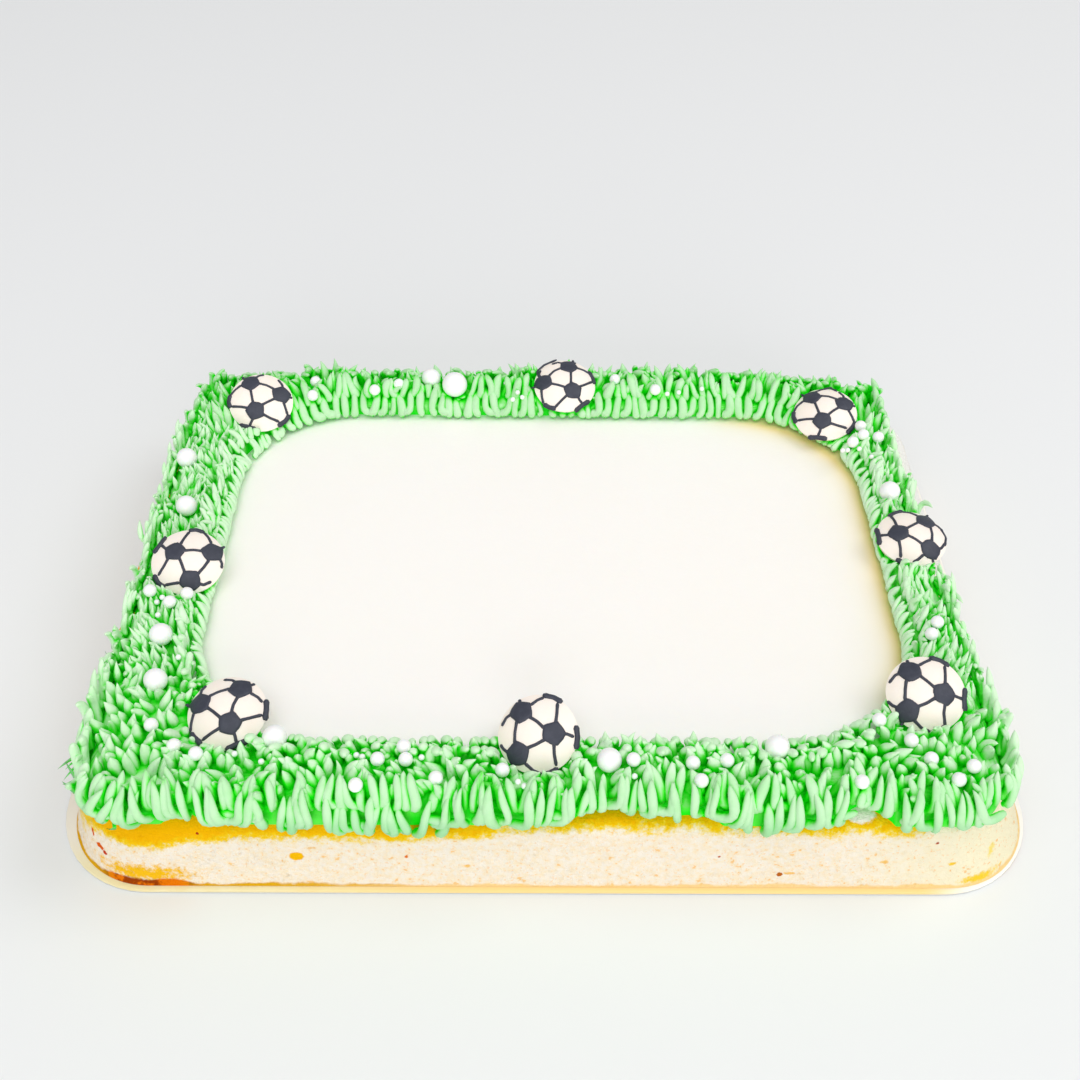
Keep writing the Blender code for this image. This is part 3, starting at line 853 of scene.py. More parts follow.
CARD = CardFinish("board_card", "card_board", (0.84, 0.75, 0.46), (0.80, 0.66, 0.30), patch_scale=60.0,
                  patch_amount=0.6, roughness=0.5, shine=0.2, grain_scale=500.0, grain_depth=0.00004)
CREAM = Finish("topper_cream", "topper_icing", (1.0, 0.90, 0.82), (1.0, 0.86, 0.76), patch_scale=120.0,
               patch_amount=0.4, roughness=0.5, subsurface=0.12, grain_scale=1600.0, grain_depth=0.00003)
DARK = Finish("topper_dark", "dark_icing", (0.030, 0.034, 0.055), (0.045, 0.05, 0.075), patch_scale=400.0,
              patch_amount=0.6, roughness=0.5, grain_scale=1500.0, grain_depth=0.00006)
PEARL = Finish("sugar_pearl", "pearl_sugar", (0.98, 0.98, 0.98), (0.95, 0.95, 0.95), patch_scale=300.0,
               patch_amount=0.4, roughness=0.28, coat=0.35, subsurface=0.3, grain_scale=1500.0,
               grain_depth=0.00002)


class Dresser:
    """Turns meshes into finished pieces that ride on the cake."""

    def __init__(self) -> None:
        """Start with no materials made."""
        self.effects = Effects()
        self.materials: dict[str, bpy.types.Material] = {}

    def material(self, finish: Finish) -> bpy.types.Material:
        """The material of a finish, built once.

        Args:
            finish: the finish.

        Returns:
            Its material.
        """
        if finish.name not in self.materials:
            self.materials[finish.name] = finish.build(self.effects)
        return self.materials[finish.name]

    def piece(self, name: str, mesh: Mesh, finish: Finish, *nodes: str) -> bpy.types.Object:
        """Make a piece of a mesh.

        Args:
            name: the piece's name.
            mesh: its mesh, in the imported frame.
            finish: its finish.
            nodes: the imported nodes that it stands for.

        Returns:
            The finished object.
        """
        mesh.name = name
        mesh.materials.clear()
        mesh.materials.append(self.material(finish))
        item = added(name, mesh)
        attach(item, "root")
        if nodes:
            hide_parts(*nodes)
        log.info("%s: %d faces", name, len(mesh.polygons))
        return item


def finished_mesh(builder: Builder, sharp: float = SHARP_ANGLE) -> Mesh:
    """A smooth-shaded mesh from a bmesh, which is freed.

    Args:
        builder: the bmesh.
        sharp: the angle in degrees from which an edge stays sharp.

    Returns:
        The mesh.
    """
    bmesh.ops.recalc_face_normals(builder, faces=builder.faces)
    mesh = bpy.data.meshes.new("piece")
    builder.to_mesh(mesh)
    builder.free()
    mesh.shade_smooth()
    mesh.set_sharp_from_angle(angle=math.radians(sharp))
    return mesh


def settle_order(builder: Builder) -> None:
    """Put edges and faces in one fixed order, because a merged spin leaves them in a new one each run.

    Args:
        builder: the bmesh.
    """
    builder.verts.index_update()
    for items in (builder.edges, builder.faces):
        ordered = sorted(items, key=lambda item: sorted(corner.index for corner in item.verts))
        for index, item in enumerate(ordered):
            item.index = index
        items.sort()


def corner_places(mesh: Mesh) -> Array:
    """The places of a mesh's corners.

    Args:
        mesh: the mesh.

    Returns:
        The places, one row for each corner.
    """
    places = np.empty(len(mesh.vertices) * 3)
    mesh.vertices.foreach_get("co", places)
    return places.reshape(-1, 3)


def carry(mesh: Mesh, name: str, values: Array) -> None:
    """Store a value on each corner of a mesh."""
    mesh.attributes.new(name, "FLOAT", "POINT").data.foreach_set("value", values)


def add_stack(builder: Builder, loops: list[list[Vector]], closed_round: bool = False) -> None:
    """Skin a stack of loops of equal counts, capped at both ends or joined end to end.

    Args:
        builder: the bmesh to add to.
        loops: the loops, from the lowest to the highest.
        closed_round: whether the last loop joins the first.
    """
    rings = [[builder.verts.new(point) for point in points] for points in loops]
    pairs = list(zip(rings, rings[1:])) + ([(rings[-1], rings[0])] if closed_round else [])
    for lower, upper in pairs:
        for index in range(len(lower)):
            builder.faces.new((lower[index - 1], lower[index], upper[index], upper[index - 1]))
    if closed_round:
        return
    for ring in (rings[0], rings[-1]):
        bmesh.ops.poke(builder, faces=[builder.faces.new(ring)])


def stack_mesh(loops: list[list[Vector]], sharp: float = SHARP_ANGLE, closed_round: bool = False) -> Mesh:
    """A mesh of one stack of loops.

    Args:
        loops: the loops, from the lowest to the highest.
        sharp: the angle in degrees from which an edge stays sharp.
        closed_round: whether the last loop joins the first.

    Returns:
        The mesh.
    """
    builder = bmesh.new()
    add_stack(builder, loops, closed_round)
    return finished_mesh(builder, sharp)


def level_loop(outline: Outline, turns: Array, height: float) -> list[Vector]:
    """An outline's places at one height."""
    places, _ = outline.at(turns)
    return [Vector((x, y, height)) for x, y in places]


@dataclass
class Board:
    """The thin card board."""

    sizes: CakeSizes
    points_round: int = 220
    edge: float = 0.0004

    def dress(self, dresser: Dresser) -> None:
        """Build the board with softened edges.

        Args:
            dresser: makes the pieces.
        """
        outline = Outline(self.sizes.board_half_length, self.sizes.board_half_width, BOARD_CORNER, (0.0, 0.0))
        turns = outline.spaced_turns(self.points_round)
        top = self.sizes.board_top
        sections = ((self.edge, 0.0), (0.0, self.edge), (0.0, top - self.edge), (self.edge, top))
        mesh = stack_mesh([level_loop(outline.inset(step), turns, height) for step, height in sections])
        dresser.piece("board", mesh, CARD, "cake_board")


@dataclass
class Sponge:
    """The sponge, with a soft shoulder and an open crumb on its walls."""

    sizes: CakeSizes
    points_round: int = 1300
    wall_rows: int = 30
    shoulder_rows: int = 10
    pore_scale: float = 620.0
    pore_depth: float = 0.0007
    pore_reach: float = 0.30
    crumb_share: float = 0.35
    swell_scale: float = 40.0
    swell_depth: float = 0.0006
    foot_fade: float = 0.001
    top_fade: float = 0.003
    sharp: float = 80.0

    def dress(self, dresser: Dresser) -> None:
        """Build the block and roughen its walls.

        Args:
            dresser: makes the pieces.
        """
        sizes = self.sizes
        shoulder_foot = sizes.sponge_top - SHOULDER_RADIUS
        turns = sizes.level(0.0, 0.0).spaced_turns(self.points_round)
        loops = []
        for row in range(self.wall_rows):
            share = row / self.wall_rows
            height = sizes.sponge_foot + share * (shoulder_foot - sizes.sponge_foot)
            loops.append(level_loop(sizes.level(0.0, share), turns, height))
        for inset, rise in quarter_round(self.shoulder_rows):
            loops.append(level_loop(sizes.level(SHOULDER_RADIUS * inset, 1.0), turns,
                                    shoulder_foot + SHOULDER_RADIUS * rise))
        builder = bmesh.new()
        add_stack(builder, loops)
        bmesh.ops.recalc_face_normals(builder, faces=builder.faces)
        builder.normal_update()
        for corner in builder.verts:
            corner.co += corner.normal * self.dent(corner.co)
        dresser.piece("crumb", finished_mesh(builder, self.sharp), CRUMB, "sponge")

    def dent(self, place: Vector) -> float:
        """How far a place of the wall lies in or out, none at its foot and its top.

        Args:
            place: the place of a corner.

        Returns:
            The distance outwards.
        """
        low, high = self.sizes.sponge_foot, self.sizes.sponge_top
        fade = min(1.0, (place.z - low) / self.foot_fade, max(0.0, (high - place.z) / self.top_fade))
        gap = noise.voronoi(place * self.pore_scale)[0][0]
        pore = max(0.0, self.pore_reach - gap) / self.pore_reach
        swell = noise.noise(place * self.swell_scale) * self.swell_depth
        crumb = noise.noise(place * 2 * self.pore_scale) * self.crumb_share * self.pore_depth
        return fade * (swell - self.swell_depth * 0.5 + crumb - pore * self.pore_depth)


@dataclass
class Icing:
    """The sheet of white icing, with a painted warm shade along the right side of the grass."""

    sizes: CakeSizes
    points_round: int = 400
    edge: float = 0.0008
    edge_steps: int = 4
    overlap: float = 0.0005
    gap: float = 0.0003
    rings: tuple[float, ...] = (-0.004, 0.0, 0.0015, 0.003, 0.0045, 0.006, 0.008, 0.011, 0.015, 0.020, 0.026)
    # Painted warm shade next to the grass: its shares and reaches from the inner outline, where it starts,
    # and its region on the right
    warm_shade_reaches: tuple[Pair, ...] = ((0.75, 0.0032), (0.22, 0.010))
    warm_shade_start: float = 0.002
    warm_shade_along: Pair = (0.060, 0.100)
    warm_shade_across: Pair = (-0.075, -0.050)

    def dress(self, dresser: Dresser) -> None:
        """Build the sheet with a soft edge.

        Args:
            dresser: makes the pieces.
        """
        sizes = self.sizes
        outline = sizes.level(SHOULDER_RADIUS + self.overlap, 1.0)
        turns = outline.spaced_turns(self.points_round)
        loops = [level_loop(outline, turns, sizes.sponge_top + self.gap)]
        for inset, rise in quarter_round(self.edge_steps):
            loops.append(level_loop(outline.inset(self.edge * inset), turns,
                                    sizes.icing_top - self.edge * (1 - rise)))
        for inset in self.rings:
            loops.append(level_loop(sizes.border(1.0).inset(inset), turns, sizes.icing_top))
        mesh = stack_mesh(loops)
        self.mark_warm_shade(mesh)
        dresser.piece("icing_sheet", mesh, ICING, "white_icing")

    def mark_warm_shade(self, mesh: Mesh) -> None:
        """Store on each corner how much painted warm shade the icing takes, from 0 to 1.

        Args:
            mesh: the sheet's mesh.
        """
        places = corner_places(mesh)[:, :2]
        apart = np.maximum(-self.sizes.border(1.0).distance(places) - self.warm_shade_start, 0.0)
        warm_shade = sum(share * np.exp(-apart / reach) for share, reach in self.warm_shade_reaches)
        carry(mesh, "warm_shade", within(places, self.warm_shade_along, self.warm_shade_across) * warm_shade)


# The steepness that leaves the space beside a decoration free, and what a topper multiplies it by
SHEER = 1e6
DISC_STEEPNESS = 2.5


@dataclass(frozen=True)
class Disc:
    """The underside of a topper, which the grass stays under."""

    place: Matrix
    radius: float

    def ceiling(self, points: Array, steepness: float) -> Array:
        """Heights of the underside over plan points, rising beside it by the steepness.

        Args:
            points: the plan points.
            steepness: how fast the height rises away from the decoration.

        Returns:
            The heights.
        """
        centre = np.array(self.place.translation)
        normal = np.array(self.place.col[2][:3])
        offset = points[..., :2] - centre[:2]
        height = centre[2] - (offset @ normal[:2]) / normal[2]
        apart = np.linalg.norm(np.concatenate((offset, (height - centre[2])[..., None]), axis=-1), axis=-1)
        return height + np.maximum(apart - self.radius, 0.0) * DISC_STEEPNESS * steepness


@dataclass(frozen=True)
class Ball:
    """A pearl, which the grass stays under."""

    centre: Vector
    radius: float

    def ceiling(self, points: Array, steepness: float) -> Array:
        """Heights of the pearl's underside over plan points, rising beside it by the steepness.

        Args:
            points: the plan points.
            steepness: how fast the height rises away from the decoration.

        Returns:
            The heights.
        """
        apart = np.hypot(points[..., 0] - self.centre.x, points[..., 1] - self.centre.y)
        drop = np.sqrt(np.maximum(self.radius ** 2 - apart ** 2, 0.0))
        return self.centre.z - drop + np.maximum(apart - self.radius, 0.0) * steepness


@dataclass(frozen=True)
class Strand:
    """The shape that all strands of a family share: a round foot, a belly and a drawn-out tip."""

    stations: tuple[float, ...]
    widths: tuple[float, ...]
    sides: int

    def template(self) -> tuple[Array, Array]:
        """A straight strand of width 1 from height 0 to 1.

        Returns:
            The corners and the triangles between them.
        """
        builder = bmesh.new()
        rings = []
        for station in self.stations[1:-1]:
            circle = bmesh.ops.create_circle(builder, segments=self.sides, radius=1.0,
                                             matrix=Matrix.Translation((0, 0, station)))
            rings.append(list({edge for corner in circle["verts"] for edge in corner.link_edges}))
        for lower, upper in zip(rings, rings[1:]):
            bmesh.ops.bridge_loops(builder, edges=lower + upper)
        for ring, end in ((rings[0], self.stations[0]), (rings[-1], self.stations[-1])):
            cap = bmesh.ops.contextual_create(builder, geom=ring)["faces"]
            middle = bmesh.ops.poke(builder, faces=cap)["verts"][0]
            middle.co = (0.0, 0.0, end)
        bmesh.ops.recalc_face_normals(builder, faces=builder.faces)
        bmesh.ops.triangulate(builder, faces=builder.faces)
        corners = np.array([corner.co[:] for corner in builder.verts])
        triangles = np.array([[corner.index for corner in face.verts] for face in builder.faces])
        builder.free()
        return corners, triangles

    def width_at(self, share: Array) -> Array:
        """The width at shares of the length."""
        return np.interp(share, self.stations, self.widths)


LONG_STRAND = Strand((0.0, 0.015, 0.05, 0.11, 0.20, 0.32, 0.45, 0.58, 0.70, 0.80, 0.89, 0.95, 1.0),
                     (0.0, 0.66, 0.94, 1.06, 1.05, 1.01, 1.00, 1.00, 0.97, 0.86, 0.62, 0.36, 0.0), 10)
BUD = Strand((0.0, 0.06, 0.20, 0.38, 0.54, 0.69, 0.82, 0.92, 1.0),
             (0.0, 0.62, 0.98, 1.05, 1.00, 0.80, 0.50, 0.25, 0.0), 8)
WISP = Strand((0.0, 0.05, 0.30, 0.60, 0.85, 1.0), (0.0, 0.8, 1.0, 0.8, 0.4, 0.0), 6)


@dataclass(frozen=True)
class Family:
    """One family of strands.

    The curve lists four control points as steps outwards and heights over the icing, or over the
    bed for a scattered family.  Across is the share of the way from the border's outer to its
    inner outline that the family follows.  Beside the cake's length the strands stand more
    upright, are brushed towards the back and splay outwards.
    """

    name: str
    shape: Strand
    across: float
    spacing: float
    width: float
    curve: tuple[Pair, ...]
    sway: float = 0.0013
    lean: float = 0.0006
    hook: float = 0.0
    drop: float = 0.0
    width_spread: float = 0.10
    on_feet_line: bool = False
    left_only: bool = False
    scattered: bool = False
    upright: float = 0.0
    brush: float = 0.0
    splay: float = 0.0
    clumped: float = 1.0
    run: float = 0.0


FAMILIES = (
    Family("grass_outer_fringe", LONG_STRAND, 0.0, 0.0035, 0.00155,
           ((0.0008, 0.0), (0.0050, 0.0002), (0.0040, 0.0092), (-0.0026, 0.0130)), sway=0.0026,
           hook=0.0050, drop=0.0018, on_feet_line=True, upright=0.7, brush=0.003, splay=0.001),
    Family("grass_outer_second", LONG_STRAND, 0.0, 0.0036, 0.0016,
           ((-0.0024, 0.0024), (0.0012, 0.0056), (-0.0030, 0.0112), (-0.0070, 0.0142)), sway=0.0020,
           hook=0.0024, lean=0.0014, upright=0.7, brush=0.003, splay=0.004),
    Family("grass_inner_fringe", LONG_STRAND, 1.0, 0.0040, 0.0017,
           ((0.0014, 0.0014), (-0.0022, 0.0030), (0.0000, 0.0068), (0.0036, 0.0088)), sway=0.0008,
           hook=0.0022, upright=0.2, brush=0.005, clumped=0.6, run=0.0060),
    Family("grass_inner_second", LONG_STRAND, 1.0, 0.0038, 0.0016,
           ((0.0070, 0.0060), (0.0062, 0.0096), (0.0082, 0.0122), (0.0102, 0.0144)), hook=0.0010,
           lean=0.0018, upright=0.3, brush=0.005, run=0.0020),
    Family("grass_buds", BUD, 0.5, 0.0027, 0.0018,
           ((0.0, -0.0022), (0.0, 0.0018), (0.0, 0.0050), (0.0, 0.0082)), lean=0.0028, sway=0.0028,
           width_spread=0.15, scattered=True, brush=0.002),
    Family("grass_wisps", WISP, 0.0, 0.0038, 0.0009,
           ((-0.0020, -0.0010), (0.0010, 0.0006), (0.0034, 0.0014), (0.0054, 0.0030)), lean=0.0020,
           sway=0.0026, width_spread=0.25, left_only=True),
)

# What each of a curve's four control points takes of the family's hook, clump spread and drop
HOOK_SHARES = (1.0, -0.7, 0.25, 0.0)
CLUMP_SHARES = (0.8, 0.6, -0.6, -1.3)
DROP_SHARES = (1.0, 0.7, 0.2, 0.0)


@dataclass
class Grass:
    """The piped border: a soft bed with families of strands on it."""

    sizes: CakeSizes
    decorations: list[Disc | Ball]
    seed: int = 7
    clump_sizes: tuple[int, int] = (2, 5)
    clump_gap: float = 0.10
    clump_spread: float = 0.22
    shift_spread: float = 0.10
    own_spread: float = 0.7
    curl: float = 0.8
    curl_lift: float = 0.35
    shared_stretch: float = 0.10
    own_stretch: float = 0.09
    width_limits: Pair = (0.7, 1.35)
    flatness: float = 0.12
    flat_turns: float = 5.0
    side_size: float = 0.70
    back_left_size: float = 0.88
    side_sway: float = 2.0
    side_drop: float = 0.0026
    clearance: float = 1.6
    press_share: float = 0.7
    tip_share: float = 0.8
    check_shares: tuple[float, ...] = (0.35, 0.6, 0.85, 1.0)
    least_rise: float = 0.0005
    least_share: float = 0.45
    held_share: float = 0.4
    margin: float = 0.0004
    front_line: float = -0.085
    side_line: float = -0.050
    front_turn: Pair = (-0.3, -0.9)
    back_lines: Pair = (0.045, 0.075)
    back_side: Pair = (0.055, 0.080)
    back_left: tuple[Pair, Pair] = ((-0.10, -0.13), (-0.02, 0.04))
    wisp_chance: float = 0.9
    wisp_side: float = -0.4
    wisp_span: Pair = (0.03, -0.08)
    feet_ceiling: float = 0.0370
    most_recess: float = 0.0060
    right_recess: float = 0.0085
    right_region: tuple[Pair, Pair] = ((0.10, 0.13), (-0.100, 0.070))
    corner_recess: float = 0.0040
    corner_region: tuple[Pair, Pair] = ((-0.11, -0.14), (0.06, 0.10))
    bud_edges: Triple = (0.0040, 0.0034, 0.0095)
    bud_tries: int = 50000
    lean_scale: float = 70.0
    bed_height: float = 0.0058
    bed_fullness: float = 0.32
    bed_margin: float = 0.03
    bed_rows: int = 22
    bed_span: Pair = (0.04, 0.86)
    bed_edges: Pair = (0.02, 0.88)
    bed_skirt: float = 0.005
    bed_points: int = 1100
    bump_scale: float = 330.0
    bed_sharp: float = 80.0
    bed_unevenness: float = 0.0011
    bed_sink: float = 0.0022
    cell: float = 0.0007
    space_low: Triple = (-0.175, -0.125, 0.024)
    space_cells: tuple[int, int, int] = (500, 360, 46)
    fill_steps: int = 22
    fill_points: int = 30
    decoration_depth: float = 0.002
    looks: int = 28
    look_out: float = 0.0008
    look_step: float = 0.0009
    look_steps: int = 7
    least_light: float = 0.15
    thickness: float = 1100.0

    def __post_init__(self) -> None:
        """Lay out the border and start the random draws."""
        self.outer = self.sizes.border(0.0)
        self.inner = self.sizes.border(1.0)
        self.dice = np.random.default_rng(self.seed)
        self.fill = np.zeros(self.space_cells)

    def feet_line(self, places: Array) -> Array:
        """Heights of the front strands' feet at plan places."""
        marks = np.linspace(-FRONT_REACH, FRONT_REACH, len(FRONT_FEET))
        return np.interp(places[..., 0] - self.sizes.middle[0], marks, FRONT_FEET) / PER_METRE

    def recess(self, places: Array) -> Array:
        """How far the outer edge stands back where the front feet are high, at the right and behind.

        Args:
            places: the plan places.

        Returns:
            The distances inwards.
        """
        high = np.clip(self.feet_line(places) - self.feet_ceiling, 0.0, self.most_recess)
        return (high * eased(places[..., 1], self.side_line, self.front_line)
                + self.right_recess * within(places, *self.right_region)
                + self.corner_recess * within(places, *self.corner_region))

    def set_back(self, places: Array, out: Array, across: float) -> Array:
        """Plan places moved in by the recess, in full at the outer edge and not at the inner one."""
        return places - out * (self.recess(places) * (1 - across))[:, None]

    def inward(self, places: Array) -> Array:
        """Distances of plan places inwards from the border's outer edge."""
        return -self.outer.distance(places) - self.recess(places)

    def across_at(self, places: Array) -> Array:
        """Shares of the way from the outer to the inner edge, outside 0 to 1 off the border."""
        inward = self.inward(places)
        return inward / np.maximum(inward + self.inner.distance(places), LEAST_SHARE)

    def bed_over_icing(self, across: Array) -> Array:
        """Height of the bed over the icing at shares of the way across."""
        share = np.clip((across - self.bed_margin) / (1 - 2 * self.bed_margin), 0.0, 1.0)
        return self.bed_height * np.sin(math.pi * share) ** self.bed_fullness

    def size_at(self, places: Array) -> Array:
        """Size of the strands at plan places: finer at the sides, finest at the back left.

        Args:
            places: the plan places.

        Returns:
            The sizes as shares of the full one.
        """
        side = eased(places[..., 1], self.front_line, self.side_line) - eased(places[..., 1], *self.back_side)
        size = 1.0 - (1.0 - self.side_size) * side
        return size * (1.0 - (1.0 - self.back_left_size) * within(places, *self.back_left))

    def line_up(self, family: Family) -> tuple[Array, Array, Array, Array]:
        """Lay out a family that follows an outline, gathered in clumps.

        Args:
            family: the family.

        Returns:
            Places, outward directions, clump numbers and orders within the clump round its middle.
        """
        outline = self.sizes.border(family.across)
        turns = outline.spaced_turns(step_at=lambda places: family.spacing * self.size_at(places))
        count = len(turns)
        sizes = self.dice.integers(self.clump_sizes[0], self.clump_sizes[1] + 1, count)
        clump = np.repeat(np.arange(count), sizes)[:count]
        order = np.concatenate([np.arange(size) - (size - 1) / 2 for size in sizes])[:count]
        steps = np.diff(turns, append=4.0)
        shift = self.dice.normal(0.0, self.shift_spread, count) - self.clump_gap * family.clumped * order
        places, out = outline.at((turns + steps * shift) % 4)
        places = self.set_back(places, out, family.across)
        if family.left_only:
            chance = self.wisp_chance * eased(places[:, 1], *self.wisp_span)
            kept = (out[:, 0] < self.wisp_side) & (self.dice.uniform(0, 1, count) < chance)
            return places[kept], out[kept], clump[kept], order[kept]
        return places, out, clump, order

    def scatter(self, family: Family) -> tuple[Array, Array, Array, Array]:
        """Lay out a family that is spread evenly over the bed, with every strand for itself.

        Args:
            family: the family.

        Returns:
            Places, outward directions, clump numbers and orders within the clump round its middle.
        """
        middle = np.array(self.outer.middle)
        reach = np.array((self.outer.half_length, self.outer.half_width))
        tries = self.dice.uniform(middle - reach, middle + reach, (self.bud_tries, 2))
        outer_edge, inner_edge, back_edge = self.bud_edges
        inner_edge = inner_edge + (back_edge - inner_edge) * eased(tries[:, 1], *self.back_lines)
        tries = tries[(self.inward(tries) > outer_edge) & (self.inner.distance(tries) > inner_edge)]
        room = (family.spacing * self.size_at(tries)) ** 2
        kept = np.empty_like(tries)
        count = 0
        for place, least in zip(tries, room):
            if np.all(np.sum((kept[:count] - place) ** 2, axis=1) > least):
                kept[count] = place
                count += 1
        return kept[:count], self.outer.outward(kept[:count]), np.arange(count), np.zeros(count)

    def common_lean(self, places: Array) -> Array:
        """Lean that neighbouring strands share, as two numbers near -1 to 1 for each place."""
        return np.array([[noise.noise(Vector((x, y, layer)) * self.lean_scale) * 2 for layer in (0.0, 1.0)]
                         for x, y in places])

    def bases(self, family: Family, places: Array, out: Array) -> Array:
        """Heights that a family's strands stand on: the icing, the bed or the line of the front feet.

        Args:
            family: the family.
            places: the plan places.
            out: the outward directions.

        Returns:
            The heights.
        """
        base = np.full(len(places), self.sizes.icing_top)
        if family.scattered:
            base = base + self.bed_over_icing(self.across_at(places))
        if family.on_feet_line:
            front = eased(out[:, 1], *self.front_turn)
            feet = self.feet_line(places) - self.recess(places)
            base = base + front * (feet - base) + (front - 1) * self.side_drop
        return base

    def grow(self, family: Family) -> tuple[Array, Array, Array]:
        """Lay out the strands of one family.

        Args:
            family: the family.

        Returns:
            Control points, widths and the level direction that each strand's width starts from.
        """
        places, out, clump, order = (self.scatter if family.scattered else self.line_up)(family)
        count = len(places)
        along = np.stack((-out[:, 1], out[:, 0]), axis=-1)
        size = self.size_at(places)
        shared = self.common_lean(places)
        own = self.dice.normal(0.0, self.own_spread, (count, 6))
        curl = self.curl * self.dice.choice((-1.0, 1.0), clump.max() + 1)[clump] + own[:, 3]
        base = self.bases(family, places, out)
        if family.scattered:
            beside = eased(places[:, 1], self.front_line, self.side_line)
            side_sway = 0.0
        else:
            beside = out[:, 0] ** 2
            side_sway = self.side_sway
        stretch = (self.held_share + (1 - self.held_share) * size) * (1 + self.shared_stretch * shared[:, 0])
        stretch *= 1 + self.own_stretch * own[:, 0]
        points = np.zeros((count, 4, 3))
        foot_height = family.curve[0][1]
        for index, (step, height) in enumerate(family.curve):
            share = index / 3
            side = family.sway * (share * (shared[:, 1] + own[:, 1]) + math.sin(math.pi * share) * own[:, 2])
            side *= 1 + side_sway * beside
            side += family.hook * curl * HOOK_SHARES[index]
            side += family.clumped * self.clump_spread * family.spacing * order * CLUMP_SHARES[index]
            reach = step * (1 - family.upright * beside) + family.lean * share * (shared[:, 0] + own[:, 4])
            reach += family.splay * share * beside * np.abs(own[:, 2])
            reach += family.run * share * eased(places[:, 1], *self.back_lines)
            points[:, index, :2] = places + out * reach[:, None] + along * side[:, None]
            points[:, index, 1] += family.brush * share * beside
            points[:, index, 2] = base + foot_height + (height - foot_height) * stretch
            points[:, index, 2] -= family.drop * DROP_SHARES[index] * own[:, 5]
        points[:, 0, 2] += self.curl_lift * family.hook * np.abs(curl)
        spread = self.dice.normal(1.0, family.width_spread, count).clip(*self.width_limits)
        return points, family.width * size * spread, np.concatenate((along, np.zeros((count, 1))), axis=1)

    def press(self, points: Array, radius: Array) -> Array:
        """Lower the points that would stand in a decoration to just under it.

        Args:
            points: the points.
            radius: the half width of the icing there.

        Returns:
            The same points, lowered.
        """
        for decoration in self.decorations:
            roof = decoration.ceiling(points, 2 * self.clearance) - self.press_share * radius
            points[..., 2] = np.minimum(points[..., 2], roof)
        return points

    def shorten(self, controls: Array, widths: Array) -> Array:
        """Shorten the strands that would stand in a decoration, so that they end under it.

        Args:
            controls: the strands' control points.
            widths: the strands' widths.

        Returns:
            The control points of the shortened strands.
        """
        foot = controls[:, :1]
        tall = np.ones(len(controls))
        for share in self.check_shares:
            place = sum(weight * controls[:, index] for index, weight in enumerate(curve_weights(share)))
            rise = np.maximum(place[:, 2] - foot[:, 0, 2], self.least_rise)
            width = widths * (1 - self.tip_share * share)
            for decoration in self.decorations:
                room = decoration.ceiling(place, self.clearance) - width - foot[:, 0, 2]
                tall = np.minimum(tall, room / rise)
        tall = np.clip(tall, self.least_share, 1.0)[:, None, None]
        level = self.held_share + (1 - self.held_share) * tall
        return foot + (controls - foot) * np.concatenate((level, level, tall), axis=2)

    def swept(self, family: Family, share: Array, controls: Array, widths: Array) -> tuple[Array, Array]:
        """Follow the strands' curves.

        Args:
            family: the family.
            share: shares of the length.
            controls: the strands' control points.
            widths: their widths.

        Returns:
            Places on each curve, kept under the decorations, and the half widths there.
        """
        radius = widths[:, None] * family.shape.width_at(share)[None]
        return self.press(np.einsum("kv,nkc->nvc", curve_weights(share), controls), radius), radius

    def family_mesh(self, family: Family) -> Mesh:
        """One mesh of all the strands of a family.

        Args:
            family: the family.

        Returns:
            The mesh.
        """
        controls, widths, sides = self.grow(family)
        controls = self.shorten(controls, widths)
        corners, triangles = family.shape.template()
        share = corners[:, 2]
        middle, radius = self.swept(family, share, controls, widths)
        rest = 1 - share
        slopes = np.stack((-rest ** 2, rest * (1 - 3 * share), share * (2 - 3 * share), share ** 2))
        ahead = np.einsum("kv,nkc->nvc", slopes, controls)
        ahead /= np.linalg.norm(ahead, axis=-1, keepdims=True)
        first = sides[:, None] - ahead * np.sum(sides[:, None] * ahead, axis=-1, keepdims=True)
        first /= np.linalg.norm(first, axis=-1, keepdims=True)
        second = np.cross(ahead, first)
        turn = self.dice.uniform(0, math.tau, (len(widths), 1)) + self.flat_turns * share[None]
        flat = 1 + self.flatness * np.sin(turn)
        points = middle + radius[..., None] * (corners[:, 0, None] * first * flat[..., None]
                                               + corners[:, 1, None] * second)
        limit = np.array((self.sizes.board_half_length, self.sizes.board_half_width)) - self.margin
        points[..., :2] = np.clip(points[..., :2], -limit, limit)
        self.fill_space(family, controls, widths)
        faces = triangles[None] + len(corners) * np.arange(len(points))[:, None, None]
        mesh = bpy.data.meshes.new(family.name)
        mesh.from_pydata(points.reshape(-1, 3), [], faces.reshape(-1, 3))
        mesh.shade_smooth()
        return mesh

    def bed_mesh(self) -> Mesh:
        """The uneven bed that carries the strands.

        Returns:
            The mesh, a closed ring.
        """
        turns = self.sizes.border(0.5).spaced_turns(self.bed_points)
        loops = []
        foot = self.sizes.icing_top - self.bed_skirt
        first, last = self.bed_edges
        for across in (first, *np.linspace(*self.bed_span, self.bed_rows), last):
            places, out = self.sizes.border(across).at(turns)
            places = self.set_back(places, out, across)
            low = across in self.bed_edges
            level = foot if low else self.sizes.icing_top + float(self.bed_over_icing(np.array(across)))
            loop = [Vector((x, y, level)) for x, y in places]
            if not low:
                for point in loop:
                    point.z += abs(noise.noise(point * self.bump_scale)) * self.bed_unevenness
            loops.append(loop)
        mesh = stack_mesh(loops, self.bed_sharp, closed_round=True)
        places = self.press(corner_places(mesh), np.full(len(mesh.vertices), self.bed_sink))
        mesh.vertices.foreach_set("co", places.ravel())
        return mesh

